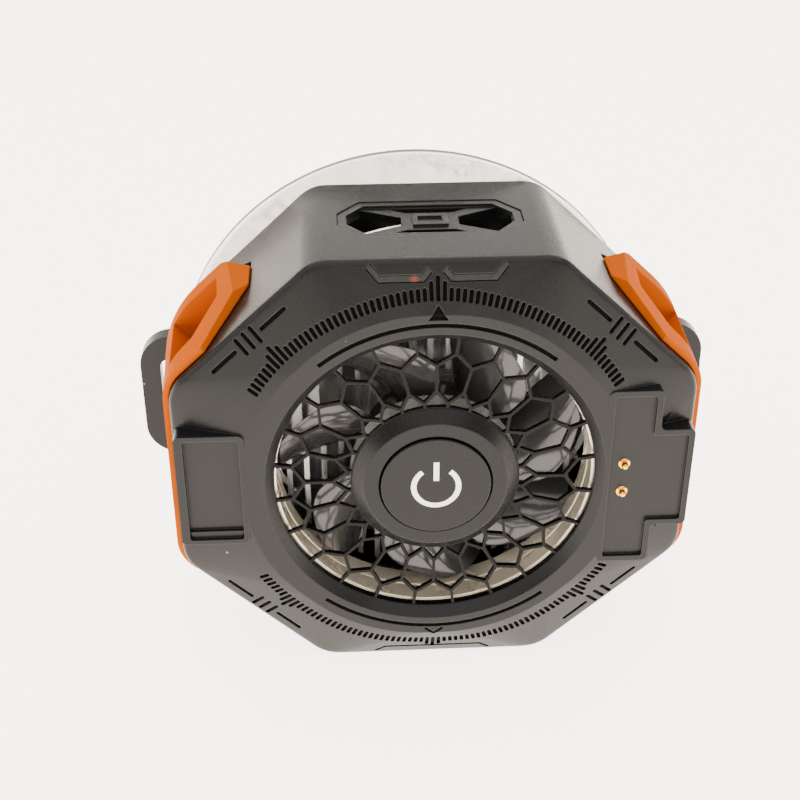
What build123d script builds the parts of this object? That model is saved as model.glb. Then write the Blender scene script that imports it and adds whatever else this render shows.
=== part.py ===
from build123d import *
import os
from math import atan2, cos, degrees, hypot, radians, sin

# Rechargeable fan in an octagonal housing, with a light disc on its back.
# +Z is up, +X is to the right seen from the front, and the front faces -Y.
# The origin is the middle of the flat base. Lengths are in mm and angles in degrees.

# Housing
BODY_WIDTH = 109.0
BODY_HEIGHT = 99.4
TOP_FLAT = 49.0
SIDE_FLAT = 43.0
CORNER_RADIUS = 8.0
SHELL_DEPTH = 37.0
SHELL_WALL = 2.2
LEDGE_WIDTH = 1.2
LEDGE_HEIGHT = 1.5

# Front cover
FRONT_RISE = 6.6
CREASE_RADIUS = 40.0
CREASE_CORNER_SHARE = 0.9
EDGE_WALL = 1.6
EDGE_ROUND = 1.8
EDGE_ROUND_LIMIT_SHARE = 0.9
FRONT_WALL = 2.2
FUNNEL_RADIUS = 34.8
FUNNEL_BACK_RADIUS = 33.8
LIP_ROUND = 1.0
TONGUE_WALL = 1.5
TONGUE_DEPTH = 2.5
TONGUE_ROOT = 1.5
POST_RADIUS = 3.0

# Engraving on the front cover
GROOVE_DEPTH = 0.5
TICK_RADIUS = 42.4
TICK_WIDTH = 0.85
TICK_SHORT = 2.5
TICK_MEDIUM = 3.6
TICK_LONG = 4.6
TICK_PITCH = 1.7
TICKS_PER_SIDE = 34
LONG_TICKS = (0, 27)
MEDIUM_TICKS = (1, 26, 28)
ARC_RADIUS = 37.8
ARC_WIDTH = 0.9
ARC_HALF_ANGLE = 39.0
POINTER_BASE_RADIUS = 38.9
POINTER_HEIGHT = 2.9
POINTER_WIDTH = 4.1
CHEVRON_RADIUS = 40.2
CHEVRON_HEIGHT = 1.6
CHEVRON_WIDTH = 4.0
LINE_WIDTH = 0.6
MARK_INSET = 3.0
MARK_LENGTH = 21.0
MARK_DASH_SHARE = 0.34
MARK_TICK_LENGTH = 4.0
MARK_WIDTH = 0.85
MARK_TICK_PITCH = 2.0
FOOT_LINE_INSET = 3.2
FOOT_LINE_RISE = 1.9
FOOT_LINE_HALF = 13.0
FOOT_LINE_SLANT = 2.2

# Pads on the front cover
PAD_OUTER = 53.8
LEFT_PAD_INNER = 39.5
LEFT_PAD_HEIGHT = 27.0
LEFT_RECESS_SIDE = 1.8
LEFT_RECESS_END = 1.1
LEFT_RECESS_DEPTH = 1.6
LEFT_LEDGE_HEIGHT = 1.7
LEFT_LEDGE_DEPTH = 0.8
RIGHT_PAD_INNER = 35.2
RIGHT_PAD_HEIGHT = 43.0
RIGHT_PAD_SHOULDER = 46.4
RIGHT_WING_HEIGHT = 24.0
RIGHT_RECESS_BORDER = 1.3
RIGHT_RECESS_DEPTH = 0.8
PAD_CORNER = 1.2
RECESS_CORNER = 0.6

# Light pipes in the top edge of the front cover
PIPE_WIDTH = 1.1
PIPE_INNER_TOP = 1.5
PIPE_INNER_FOOT = 2.9
PIPE_OUTER_FOOT = 11.4
PIPE_OUTER_TOP = 13.6
PIPE_FOOT_DROP = 3.3
PIPE_INNER_DROP = 1.8
PIPE_OUTER_DROP = 0.9
PIPE_RECESS = 0.2

# Indicator board behind the light pipes
INDICATOR_LENGTH = 25.0
INDICATOR_HEIGHT = 4.0
INDICATOR_THICK = 1.0
INDICATOR_CHIP = 1.6
INDICATOR_CHIP_THICK = 0.6
INDICATOR_CHIP_X = 4.0

# Guard grille
GRILLE_RING_RADIUS = 36.8
GRILLE_RING_DEPTH = 1.6
GRILLE_SECTORS = 24
RIB_WIDTH = 0.6
RIB_DEPTH = 1.1
CELL_OUTER_RADIUS = 30.3
CELL_SHOULDER_RADIUS = 27.4
CELL_WAIST_RADIUS = 21.6
CELL_INNER_RADIUS = 18.6
HUB_RADIUS = 17.8
HUB_WALL = 1.4
HUB_FLOOR = 1.0
HUB_CUP_DEPTH = 5.0

# Hub cap and power button
CAP_THICK = 2.2
CAP_FACE_RADIUS = 15.0
CAP_RADIUS = 17.7
CAP_SKIRT_WALL = 1.3
BUTTON_RADIUS = 11.6
BUTTON_GAP = 0.3
BUTTON_PROUD = 0.5
BUTTON_BEVEL = 0.4
BUTTON_FLANGE = 1.2
BUTTON_FLANGE_THICK = 0.6
BUTTON_TRAVEL = 0.8
BUTTON_SEAT_GAP = 0.2
BUTTON_BOARD_THICK = 0.8
SWITCH_SIDE = 6.2
SWITCH_HEIGHT = 1.4
SWITCH_FLOOR = 0.4
PLUNGER_RADIUS = 1.6
PLUNGER_FIT = 0.05

# Sprung contacts and control board
CONTACT_X = 39.6
CONTACT_PITCH = 7.0
CONTACT_FLANGE_RADIUS = 1.3
CONTACT_FLANGE_THICK = 0.3
CONTACT_BARREL_RADIUS = 1.0
CONTACT_PIN_RADIUS = 0.7
CONTACT_PIN_FIT = 0.03
CONTACT_PIN_PROUD = 1.4
CONTACT_PIN_TIP = 0.4
CONTACT_BASE = 0.6
CONTACT_PIN_LENGTH = 3.8
BOARD_INNER = 37.9
BOARD_OUTER = 47.6
BOARD_HEIGHT = 30.0
BOARD_THICK = 1.2
BOARD_GAP = 1.2
BOARD_POST_RADIUS = 2.0
BOARD_POST_X = 44.4
BOARD_POST_Z = 11.6

# Fan shroud
SHROUD_BORE = 33.6
SHROUD_WALL = 1.5
SHROUD_DEPTH = 10.0
SHROUD_FLANGE_RADIUS = 37.3
SHROUD_FLANGE_THICK = 1.5
SHROUD_TAB_RADIUS = 3.1
SHROUD_SCREW_RADIUS = 39.8
SHROUD_BOSS_RADIUS = 2.4
SHROUD_SCREW_ANGLE = 45.0

# Fan rotor
BLADES = 7
BLADE_PHASE = 2.0
BLADE_TIP_GAP = 0.8
BLADE_DEPTH_SHARES = (0.8, 0.95, 0.7)
BLADE_WIDTH_SHARES = (0.66, 0.84, 0.34)
BLADE_SWEEPS = (0.0, 8.0, 24.0)
BLADE_MID_SHARE = 0.55
BLADE_DEPTH = 9.6
BLADE_CAMBER_SHARE = 0.09
BLADE_THICK = 1.3
BLADE_FIN_GAP = 1.6
ROTOR_HUB_RADIUS = 14.8
ROTOR_HUB_WALL = 1.6
ROTOR_HUB_FRONT = 1.8
ROTOR_HUB_DEPTH = 10.4
ROTOR_FRONT_GAP = 1.0
ROTOR_BOSS_RADIUS = 2.6
ROTOR_BOSS_DEPTH = 1.0

# Motor
SHAFT_RADIUS = 1.0
SHAFT_FIT = 0.02
BEARING_RADIUS = 3.0
BEARING_WIDTH = 2.5
TUBE_WALL = 1.4
CAN_WALL = 1.0
MAGNET_WALL = 1.3
CAN_DEPTH = 8.0
AIR_GAP = 0.5
STATOR_DEPTH = 5.0
STATOR_TEETH = 9
STATOR_HUB_WALL = 1.6
TOOTH_WIDTH = 1.7
TOOTH_TIP_WALL = 1.1
TOOTH_TIP_GAP = 1.2
COIL_WALL = 0.8
MOTOR_GAP = 0.6
MOTOR_FLANGE_RADIUS = 13.0
MOTOR_FLANGE_THICK = 2.0
MOTOR_SCREWS = 3
MOTOR_SCREW_RADIUS = 9.5

# Heat sink
SINK_RADIUS = 38.0
SINK_BASE = 3.0
SINK_FIN_RADIUS = 36.0
FIN_THICK = 1.2
FIN_PITCH = 3.9
FIN_MOTOR_GAP = 2.0
SINK_LUG_RADIUS = 3.6
SINK_SCREW_RADIUS = 45.0
SINK_SCREW_ANGLE = 45.0
SINK_POST_RADIUS = 2.5
SINK_POST_HEIGHT = 3.0

# Rear cover with strap ears
COVER_THICK = 4.0
COVER_HOLE_RADIUS = 42.0
EAR_REACH = 64.8
EAR_HEIGHT = 31.0
EAR_CORNER = 7.5
EAR_STEP_REACH = 60.2
EAR_STEP_DROP = 6.0
EAR_STEP_CORNER = 2.5
SLOT_WIDTH = 4.9
SLOT_LENGTH = 19.0
SLOT_RIM = 4.5
SLOT_CORNER = 1.8

# Light board, gasket and disc
LIGHT_BOARD_RADIUS = 36.0
LIGHT_BOARD_BORE = 8.0
LIGHT_BOARD_THICK = 1.2
LIGHT_CHIP = 3.0
LIGHT_CHIP_THICK = 0.8
LIGHT_CHIP_RINGS = ((16.0, 8), (29.0, 16))
GASKET_INNER = 43.0
GASKET_WIDTH = 1.6
GASKET_THICK = 1.2
GASKET_PROUD = 0.4
DISC_RADIUS = 53.3
DISC_THICK = 1.6
DISC_EDGE = 0.5
DISC_SHIFT = -2.6
FILM_INSET = 1.2
FILM_THICK = 0.3
TAB_REACH = 66.9
TAB_LENGTH = 22.0
TAB_TOP = 3.0
TAB_HEIGHT = 8.0
TAB_CORNER = 2.5
TAB_THICK = 0.3

# Vent insert in the top wall
VENT_LENGTH = 38.4
VENT_WIDTH = 17.6
VENT_LONG_FLAT = 29.0
VENT_SHORT_FLAT = 5.6
VENT_SEAT_DEPTH = 0.9
VENT_SEAT_WIDTH = 1.3
VENT_SUNK = 0.2
VENT_FRAME = 1.9
VENT_PLATE_DEPTH = 0.8
VENT_PLATE_THICK = 1.6
VENT_WINDOW_SHARES = (
    (-0.89, 0.26),
    (-0.74, 0.7),
    (-0.31, 0.22),
    (-0.31, -0.22),
    (-0.74, -0.7),
    (-0.89, -0.26),
)
VENT_SLIT_SHARES = ((-0.46, 0.74), (0.46, 0.74), (0.26, 0.48), (-0.26, 0.48))
VENT_BOX_LENGTH = 7.4
VENT_BOX_WIDTH = 5.4
VENT_BOX_WALL = 1.2
VENT_BOX_RISE = 0.5

# Side grips
GRIP_FRONT = 0.9
GRIP_REAR = 28.0
GRIP_PROUD_FRONT = 1.4
GRIP_PROUD_REAR = 3.6
GRIP_REAR_ROUND = 26.0
GRIP_REACH = 23.2
GRIP_TAIL = 4.0
GRIP_END_FRONT = 14.0
GRIP_END_REAR = 22.6
GRIP_RIM_START = 11.0
GRIP_REAR_START = 17.2
GRIP_END_LIFT = 0.5
GRIP_END_SLOPE = 7.0
SCOOP_DEPTH = 4.0
SCOOP_WALL = 1.5
SCOOP_LOW = 1.0
SCOOP_KNEE = 8.5
SCOOP_HIGH = 16.0
SCOOP_FRONT = 6.5
SCOOP_KNEE_FRONT = 8.0
SCOOP_HIGH_FRONT = 15.5
SCOOP_REAR = 23.5
GRIP_GAP = 2.8

# Batteries
BATTERY_THICK = 11.5
BATTERY_HEIGHT = 30.0
BATTERY_DEPTH = 25.0
BATTERY_ROUND = 2.0

# Screws
SCREW_RADIUS = 1.0
SCREW_HEAD_RADIUS = 1.9
SCREW_HEAD_HEIGHT = 1.2
SCREW_SOCKET_RADIUS = 0.8
SCREW_SOCKET_DEPTH = 0.6
COVER_SCREW_LENGTH = 9.0
SHROUD_SCREW_LENGTH = 3.6
SINK_SCREW_LENGTH = 6.0
MOTOR_SCREW_LENGTH = 3.4
BOARD_SCREW_LENGTH = 3.2
PILOT_SPARE = 0.3

# Clearances and the overrun of cuts
FIT = 0.15
SCREW_FIT = 0.05
CLEAR = 0.3
OVERRUN = 2.0

# Planes and places that follow from the sizes
AXIS_Z = BODY_HEIGHT / 2
HALF_WIDTH = BODY_WIDTH / 2
HALF_HEIGHT = BODY_HEIGHT / 2
SEAM = -SHELL_DEPTH / 2
REAR = SHELL_DEPTH / 2
FACE = SEAM - FRONT_RISE
INNER_FACE = FACE + FRONT_WALL
COVER_FRONT = REAR - COVER_THICK
SINK_BACK = COVER_FRONT - SINK_POST_HEIGHT
SINK_FRONT = SINK_BACK - SINK_BASE
WALL_ANGLE = atan2(HALF_HEIGHT - SIDE_FLAT / 2, HALF_WIDTH - TOP_FLAT / 2)
NORMAL_X = sin(WALL_ANGLE)
NORMAL_Z = cos(WALL_ANGLE)
DIAGONAL = NORMAL_X * HALF_WIDTH + NORMAL_Z * SIDE_FLAT / 2
FAN_AXIS = Axis((0, 0, AXIS_Z), (0, 1, 0))
SCREW_HOLE = SCREW_RADIUS + SCREW_FIT
SHROUD_SEAT = INNER_FACE + GRILLE_RING_DEPTH
SHROUD_BACK = SHROUD_SEAT + SHROUD_FLANGE_THICK
BOARD_FRONT = SEAM - BOARD_GAP
BOARD_BACK = BOARD_FRONT + BOARD_THICK
PAD_FLOOR = FACE + RIGHT_RECESS_DEPTH
BARREL_FRONT = PAD_FLOOR - CONTACT_FLANGE_THICK
PIPE_BACK = SEAM - INDICATOR_THICK - INDICATOR_CHIP_THICK
INDICATOR_TOP = HALF_HEIGHT - SHELL_WALL - FIT
CUP_FRONT = INNER_FACE
CUP_BACK = CUP_FRONT + HUB_CUP_DEPTH
CAP_FRONT = CUP_FRONT - CAP_THICK
BUTTON_BACK = CUP_FRONT + BUTTON_SEAT_GAP + BUTTON_FLANGE_THICK
BUTTON_BOARD_FRONT = CUP_BACK - HUB_FLOOR - BUTTON_BOARD_THICK
SWITCH_FRONT = BUTTON_BOARD_FRONT - SWITCH_HEIGHT
ROTOR_FRONT = CUP_BACK + ROTOR_FRONT_GAP
ROTOR_BACK = ROTOR_FRONT + ROTOR_HUB_DEPTH
ROTOR_MIDDLE = (ROTOR_FRONT + ROTOR_BACK) / 2
SHAFT_FRONT = ROTOR_FRONT + ROTOR_HUB_FRONT / 2
CAN_FRONT = ROTOR_FRONT + ROTOR_HUB_FRONT
CAN_RADIUS = ROTOR_HUB_RADIUS - ROTOR_HUB_WALL
MAGNET_RADIUS = CAN_RADIUS - CAN_WALL
STATOR_RADIUS = MAGNET_RADIUS - MAGNET_WALL - AIR_GAP
TUBE_RADIUS = BEARING_RADIUS + TUBE_WALL
TUBE_FRONT = CAN_FRONT + ROTOR_BOSS_DEPTH + MOTOR_GAP
STATOR_FRONT = TUBE_FRONT + FIT
COIL_FRONT = STATOR_FRONT - FIT - COIL_WALL
COIL_BACK = STATOR_FRONT + STATOR_DEPTH + FIT + COIL_WALL
MOTOR_SEAT = SINK_FRONT - MOTOR_FLANGE_THICK
GASKET_FRONT = REAR + GASKET_PROUD - GASKET_THICK
DISC_FRONT = REAR + GASKET_PROUD
DISC_BACK = DISC_FRONT + DISC_THICK
FILM_BACK = DISC_BACK + FILM_THICK
DISC_PLACE = Pos(DISC_SHIFT, DISC_RADIUS - AXIS_Z)
COVER_SCREW_SEAT = REAR - SCREW_HEAD_HEIGHT - CLEAR


def facing(y):
    """Plane seen from the front at depth y, with its middle on the fan axis."""
    return Plane(origin=(0, y, AXIS_Z), x_dir=(1, 0, 0), z_dir=(0, -1, 0))


def slab(outline, y_front, y_back):
    """Outline drawn from the front, made solid between two depths."""
    return extrude(facing(y_back) * outline, amount=y_back - y_front, dir=(0, -1, 0))


def turned(*corners):
    """Solid turned about the fan axis from (radius, depth) corners."""
    section = Plane(origin=(0, 0, AXIS_Z), x_dir=(1, 0, 0), z_dir=(0, 0, 1))
    return revolve(section * polygon(*corners), axis=FAN_AXIS)


def polygon(*points):
    """Face with straight sides."""
    return make_face(Polyline(*points, close=True))


def span(x_low, x_high, z_low, z_high):
    """Rectangle between two corners."""
    middle = Pos((x_low + x_high) / 2, (z_low + z_high) / 2)
    return middle * Rectangle(x_high - x_low, z_high - z_low)


def polar(radius, angle):
    """Point at a radius, with the angle counted from +X towards +Z."""
    return (radius * cos(radians(angle)), radius * sin(radians(angle)))


def around(count, radius, first=0.0):
    """Points evenly spaced on a circle."""
    return [polar(radius, first + 360 * index / count) for index in range(count)]


def octagon_corners(half_width, half_height, diagonal):
    """Corners of an octagon from the distances of its flats to the fan axis."""
    top_x = (diagonal - NORMAL_Z * half_height) / NORMAL_X
    side_z = (diagonal - NORMAL_X * half_width) / NORMAL_Z
    upper = [(half_width, side_z), (top_x, half_height), (-top_x, half_height), (-half_width, side_z)]
    return upper + [(-x, -z) for x, z in upper]


def body_corners(inset):
    """Sharp corners of the housing outline, moved inwards by an inset."""
    return octagon_corners(HALF_WIDTH - inset, HALF_HEIGHT - inset, DIAGONAL - inset)


def body_outline(inset=0.0):
    """Rounded octagon of the housing, moved inwards by an inset."""
    face = polygon(*body_corners(inset))
    return fillet(face.vertices(), CORNER_RADIUS - inset)


def crease_outline(radius):
    """Nearly round octagon where the flat of the front meets its slopes."""
    face = polygon(*octagon_corners(radius, radius, radius))
    return fillet(face.vertices(), radius * CREASE_CORNER_SHARE)


def mirrored(shape):
    """Copy on the other side of the middle plane."""
    return mirror(shape, about=Plane.YZ)


def screw(x, z, y_seat, length, towards):
    """Cap screw with its head on y_seat, pointing to +Y or -Y."""
    y_tip = y_seat + towards * length
    y_head = y_seat - towards * SCREW_HEAD_HEIGHT
    y_socket = y_head + towards * SCREW_SOCKET_DEPTH
    place = Pos(x, z)
    shank = slab(place * Circle(SCREW_RADIUS), *sorted((y_seat, y_tip)))
    head = slab(place * Circle(SCREW_HEAD_RADIUS), *sorted((y_seat, y_head)))
    socket = slab(place * RegularPolygon(SCREW_SOCKET_RADIUS, 6), *sorted((y_head, y_socket)))
    return shank + head - socket


def rods(points, y_front, y_back, radius):
    """Round rods, or the holes for them, at a list of points between two depths."""
    return slab(Sketch() + [Pos(*point) * Circle(radius) for point in points], y_front, y_back)


def group(solids):
    """Separate solids that share one node."""
    return Compound(children=list(solids))


# Screw places
POST_INSET = SHELL_WALL + LEDGE_WIDTH + CLEAR + POST_RADIUS
POST_POINTS = [point for index, point in enumerate(body_corners(POST_INSET)) if index in (1, 2, 5, 6)]
SHROUD_POINTS = around(4, SHROUD_SCREW_RADIUS, SHROUD_SCREW_ANGLE)
SINK_POINTS = around(4, SINK_SCREW_RADIUS, SINK_SCREW_ANGLE)
MOTOR_POINTS = around(MOTOR_SCREWS, MOTOR_SCREW_RADIUS, 90)
BOARD_POINTS = [(BOARD_POST_X, BOARD_POST_Z), (BOARD_POST_X, -BOARD_POST_Z)]
CONTACT_POINTS = [(CONTACT_X, CONTACT_PITCH / 2), (CONTACT_X, -CONTACT_PITCH / 2)]


# Front cover


def left_pad(border_side=0.0, border_end=0.0, corner=PAD_CORNER):
    """Outline of the rectangular pad, or of its recess."""
    half = LEFT_PAD_HEIGHT / 2 - border_end
    pad = span(-PAD_OUTER + border_side, -LEFT_PAD_INNER - border_end, -half, half)
    return fillet(pad.vertices(), corner)


def right_pad(border=0.0, corner=PAD_CORNER):
    """Outline of the stepped docking pad, or of its recess."""
    half = RIGHT_PAD_HEIGHT / 2 - border
    wing = RIGHT_WING_HEIGHT / 2 - border
    inner, shoulder, outer = RIGHT_PAD_INNER + border, RIGHT_PAD_SHOULDER - border, PAD_OUTER - border
    upper = [(inner, half), (shoulder, half), (shoulder, wing), (outer, wing)]
    pad = polygon(*upper, *[(x, -z) for x, z in reversed(upper)])
    return fillet(pad.vertices(), corner)


def pipe_line():
    """Route of the right light pipe along the top edge."""
    return Polyline(
        (PIPE_INNER_TOP, HALF_HEIGHT - PIPE_INNER_DROP),
        (PIPE_INNER_FOOT, HALF_HEIGHT - PIPE_FOOT_DROP),
        (PIPE_OUTER_FOOT, HALF_HEIGHT - PIPE_FOOT_DROP),
        (PIPE_OUTER_TOP, HALF_HEIGHT - PIPE_OUTER_DROP),
    )


def cover_form():
    """Outer form of the front cover, with its pads and no hollow."""
    knee = SEAM - EDGE_WALL
    slopes = loft([facing(FACE) * crease_outline(CREASE_RADIUS), facing(knee) * body_outline()], ruled=True)
    form = slopes + slab(body_outline(), knee, SEAM)
    knee_edges = [edge for edge in form.edges() if abs(edge.center().Y - knee) < FIT]
    form = fillet(knee_edges, min(EDGE_ROUND, EDGE_WALL * EDGE_ROUND_LIMIT_SHARE))
    return form + slab(left_pad() + right_pad(), FACE, SEAM)


def tick_ring():
    """Ticks above the fan opening, counted both ways from the middle."""
    ticks = []
    for index in range(-TICKS_PER_SIDE, TICKS_PER_SIDE + 1):
        length = TICK_SHORT
        if abs(index) in MEDIUM_TICKS:
            length = TICK_MEDIUM
        if abs(index) in LONG_TICKS:
            length = TICK_LONG
        place = Rot(0, 0, index * TICK_PITCH) * Pos(0, TICK_RADIUS + length / 2)
        ticks.append(place * SlotOverall(length, TICK_WIDTH, rotation=90))
    return ticks


def corner_mark():
    """Broken line with three cross ticks, on the upper right slope."""
    dash = MARK_LENGTH * MARK_DASH_SHARE
    dash_middle = (MARK_LENGTH - dash) / 2
    pieces = [Pos(side * dash_middle, 0) * SlotOverall(dash, MARK_WIDTH) for side in (-1, 1)]
    tick = SlotOverall(MARK_TICK_LENGTH, MARK_WIDTH, rotation=90)
    pieces += [Pos(index * MARK_TICK_PITCH, 0) * tick for index in (-1, 0, 1)]
    upper = body_corners(MARK_INSET)
    middle = ((upper[0][0] + upper[1][0]) / 2, (upper[0][1] + upper[1][1]) / 2)
    turn = degrees(atan2(upper[1][1] - upper[0][1], upper[1][0] - upper[0][0]))
    return [Pos(*middle) * Rot(0, 0, turn) * piece for piece in pieces]


def engraving():
    """All that is engraved on the front, as one outline."""
    ring = Circle(ARC_RADIUS + ARC_WIDTH / 2) - Circle(ARC_RADIUS - ARC_WIDTH / 2)
    reach = 2 * ARC_RADIUS
    wedge = polygon((0, 0), polar(reach, 90 - ARC_HALF_ANGLE), polar(reach, 90 + ARC_HALF_ANGLE))
    arc = ring & wedge
    half_turn = Rot(0, 0, 180)
    upper = tick_ring() + [arc]
    pointer = polygon(
        (-POINTER_WIDTH / 2, POINTER_BASE_RADIUS),
        (POINTER_WIDTH / 2, POINTER_BASE_RADIUS),
        (0, POINTER_BASE_RADIUS + POINTER_HEIGHT),
    )
    chevron = trace(Polyline(
        (-CHEVRON_WIDTH / 2, CHEVRON_HEIGHT - CHEVRON_RADIUS),
        (0, -CHEVRON_RADIUS),
        (CHEVRON_WIDTH / 2, CHEVRON_HEIGHT - CHEVRON_RADIUS),
    ), LINE_WIDTH)
    foot_low = FOOT_LINE_INSET - FOOT_LINE_RISE - HALF_HEIGHT
    foot = trace(Polyline(
        (-FOOT_LINE_HALF, foot_low),
        (FOOT_LINE_SLANT - FOOT_LINE_HALF, FOOT_LINE_INSET - HALF_HEIGHT),
        (FOOT_LINE_HALF - FOOT_LINE_SLANT, FOOT_LINE_INSET - HALF_HEIGHT),
        (FOOT_LINE_HALF, foot_low),
    ), LINE_WIDTH)
    right_marks = corner_mark()
    marks = right_marks + [half_turn * mark for mark in right_marks]
    left_marks = [mirrored(mark) for mark in marks]
    lower = [half_turn * piece for piece in upper]
    return Sketch() + (upper + lower + [pointer, chevron, foot] + marks + left_marks)


def front_cover():
    """Front shell with its opening, pads, engraving, bosses and screw posts."""
    grooves = slab(engraving(), FACE - OVERRUN, SEAM) - Pos(0, GROOVE_DEPTH, 0) * COVER_FORM
    hollow = loft(
        [facing(INNER_FACE) * crease_outline(CREASE_RADIUS), facing(SEAM) * body_outline(SHELL_WALL)],
        ruled=True,
    )
    cover = COVER_FORM - hollow - grooves
    tongue_inset = SHELL_WALL + FIT
    tongue = body_outline(tongue_inset) - body_outline(tongue_inset + TONGUE_WALL)
    cover += slab(tongue, SEAM - TONGUE_ROOT, SEAM + TONGUE_DEPTH)
    wall_middle = INNER_FACE - FRONT_WALL / 2
    cover += rods(SHROUD_POINTS, wall_middle, SHROUD_SEAT, SHROUD_BOSS_RADIUS)
    cover += rods(POST_POINTS, SEAM - TONGUE_ROOT, COVER_FRONT, POST_RADIUS)
    cover += rods(BOARD_POINTS, wall_middle, BOARD_FRONT, BOARD_POST_RADIUS)
    cover -= turned(
        (0, FACE - OVERRUN),
        (FUNNEL_RADIUS + LIP_ROUND, FACE - OVERRUN),
        (FUNNEL_RADIUS + LIP_ROUND, FACE),
        (FUNNEL_RADIUS, FACE + LIP_ROUND),
        (FUNNEL_BACK_RADIUS, INNER_FACE),
        (FUNNEL_BACK_RADIUS, INNER_FACE + OVERRUN),
        (0, INNER_FACE + OVERRUN),
    )
    left_recess = left_pad(LEFT_RECESS_SIDE, LEFT_RECESS_END, RECESS_CORNER)
    half = LEFT_PAD_HEIGHT / 2 - LEFT_RECESS_END
    ledge = span(-PAD_OUTER, -LEFT_PAD_INNER, -half, LEFT_LEDGE_HEIGHT - half)
    cover -= slab(left_recess - ledge, FACE - OVERRUN, FACE + LEFT_RECESS_DEPTH)
    cover -= slab(left_recess & ledge, FACE - OVERRUN, FACE + LEFT_LEDGE_DEPTH)
    cover -= slab(right_pad(RIGHT_RECESS_BORDER, RECESS_CORNER), FACE - OVERRUN, PAD_FLOOR)
    cover -= rods(CONTACT_POINTS, FACE - OVERRUN, SEAM, CONTACT_BARREL_RADIUS + FIT)
    shroud_pilot = SHROUD_SCREW_LENGTH - SHROUD_FLANGE_THICK + PILOT_SPARE
    board_pilot = BOARD_SCREW_LENGTH - BOARD_THICK + PILOT_SPARE
    cover -= rods(SHROUD_POINTS, SHROUD_SEAT - shroud_pilot, SHROUD_SEAT, SCREW_HOLE)
    cover -= rods(POST_POINTS, COVER_FRONT - COVER_SCREW_LENGTH, COVER_FRONT, SCREW_HOLE)
    cover -= rods(BOARD_POINTS, BOARD_FRONT - board_pilot, BOARD_FRONT, SCREW_HOLE)
    pipe = trace(pipe_line(), PIPE_WIDTH + 2 * FIT)
    cover -= slab(pipe + mirrored(pipe), FACE - OVERRUN, PIPE_BACK)
    pocket_half = INDICATOR_LENGTH / 2 + CLEAR
    pocket = span(-pocket_half, pocket_half, INDICATOR_TOP - INDICATOR_HEIGHT - CLEAR, INDICATOR_TOP + FIT)
    return cover - slab(pocket, PIPE_BACK, SEAM + TONGUE_DEPTH + OVERRUN)


def light_pipe():
    """Right light pipe, which follows the rounded top edge."""
    prism = slab(trace(pipe_line(), PIPE_WIDTH), FACE - OVERRUN, PIPE_BACK)
    return prism & Pos(0, PIPE_RECESS, 0) * COVER_FORM


def indicator_board():
    """Strip board behind the light pipes."""
    half = INDICATOR_LENGTH / 2
    strip = span(-half, half, INDICATOR_TOP - INDICATOR_HEIGHT, INDICATOR_TOP)
    return slab(strip, SEAM - INDICATOR_THICK, SEAM)


def indicator_chips():
    """One light chip behind each light pipe."""
    middle = HALF_HEIGHT - PIPE_FOOT_DROP
    chip = Rectangle(INDICATOR_CHIP, INDICATOR_CHIP)
    return group(
        slab(Pos(side * INDICATOR_CHIP_X, middle) * chip, PIPE_BACK, SEAM - INDICATOR_THICK)
        for side in (-1, 1)
    )


# Guard grille, hub cap and power button


def grille_cells():
    """Openings of one sector of the honeycomb: outer, middle and inner."""
    half = 180 / GRILLE_SECTORS
    outer = polygon(
        polar(GRILLE_RING_RADIUS, -half),
        polar(CELL_OUTER_RADIUS, -half),
        polar(CELL_SHOULDER_RADIUS, 0),
        polar(CELL_OUTER_RADIUS, half),
        polar(GRILLE_RING_RADIUS, half),
    )
    middle = polygon(
        polar(CELL_OUTER_RADIUS, half),
        polar(CELL_SHOULDER_RADIUS, 0),
        polar(CELL_WAIST_RADIUS, 0),
        polar(CELL_INNER_RADIUS, half),
        polar(CELL_WAIST_RADIUS, 2 * half),
        polar(CELL_SHOULDER_RADIUS, 2 * half),
    )
    inner = polygon(
        polar(CELL_WAIST_RADIUS, 0),
        polar(CELL_INNER_RADIUS, half),
        polar(HUB_RADIUS - HUB_WALL, half),
        polar(HUB_RADIUS - HUB_WALL, -half),
        polar(CELL_INNER_RADIUS, -half),
    )
    shrunk = [offset(cell, -RIB_WIDTH / 2, kind=Kind.INTERSECTION) for cell in (outer, middle, inner)]
    bore = Circle(FUNNEL_BACK_RADIUS) - Circle(HUB_RADIUS)
    return [cell & bore for cell in shrunk]


def guard_grille():
    """Honeycomb guard with its clamping ring and the hub cup."""
    cells = grille_cells()
    turns = [Rot(0, 0, 360 * index / GRILLE_SECTORS) for index in range(GRILLE_SECTORS)]
    net = Circle(FUNNEL_BACK_RADIUS + FIT) - Circle(HUB_RADIUS - FIT)
    net -= [turn * cell for turn in turns for cell in cells]
    ring = Circle(GRILLE_RING_RADIUS) - Circle(FUNNEL_BACK_RADIUS)
    cup = turned(
        (0, CUP_BACK - HUB_FLOOR),
        (HUB_RADIUS - HUB_WALL, CUP_BACK - HUB_FLOOR),
        (HUB_RADIUS - HUB_WALL, CUP_FRONT),
        (HUB_RADIUS, CUP_FRONT),
        (HUB_RADIUS, CUP_BACK),
        (0, CUP_BACK),
    )
    return slab(net, INNER_FACE, INNER_FACE + RIB_DEPTH) + slab(ring, INNER_FACE, SHROUD_SEAT) + cup


def hub_cap():
    """Bevelled ring that closes the hub cup and keeps the button in."""
    bore = BUTTON_RADIUS + BUTTON_GAP
    skirt = HUB_RADIUS - HUB_WALL - FIT
    return turned(
        (bore, CAP_FRONT),
        (CAP_FACE_RADIUS, CAP_FRONT),
        (CAP_RADIUS, CUP_FRONT),
        (skirt, CUP_FRONT),
        (skirt, BUTTON_BOARD_FRONT),
        (skirt - CAP_SKIRT_WALL, BUTTON_BOARD_FRONT),
        (skirt - CAP_SKIRT_WALL, CUP_FRONT),
        (bore, CUP_FRONT),
    )


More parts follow.
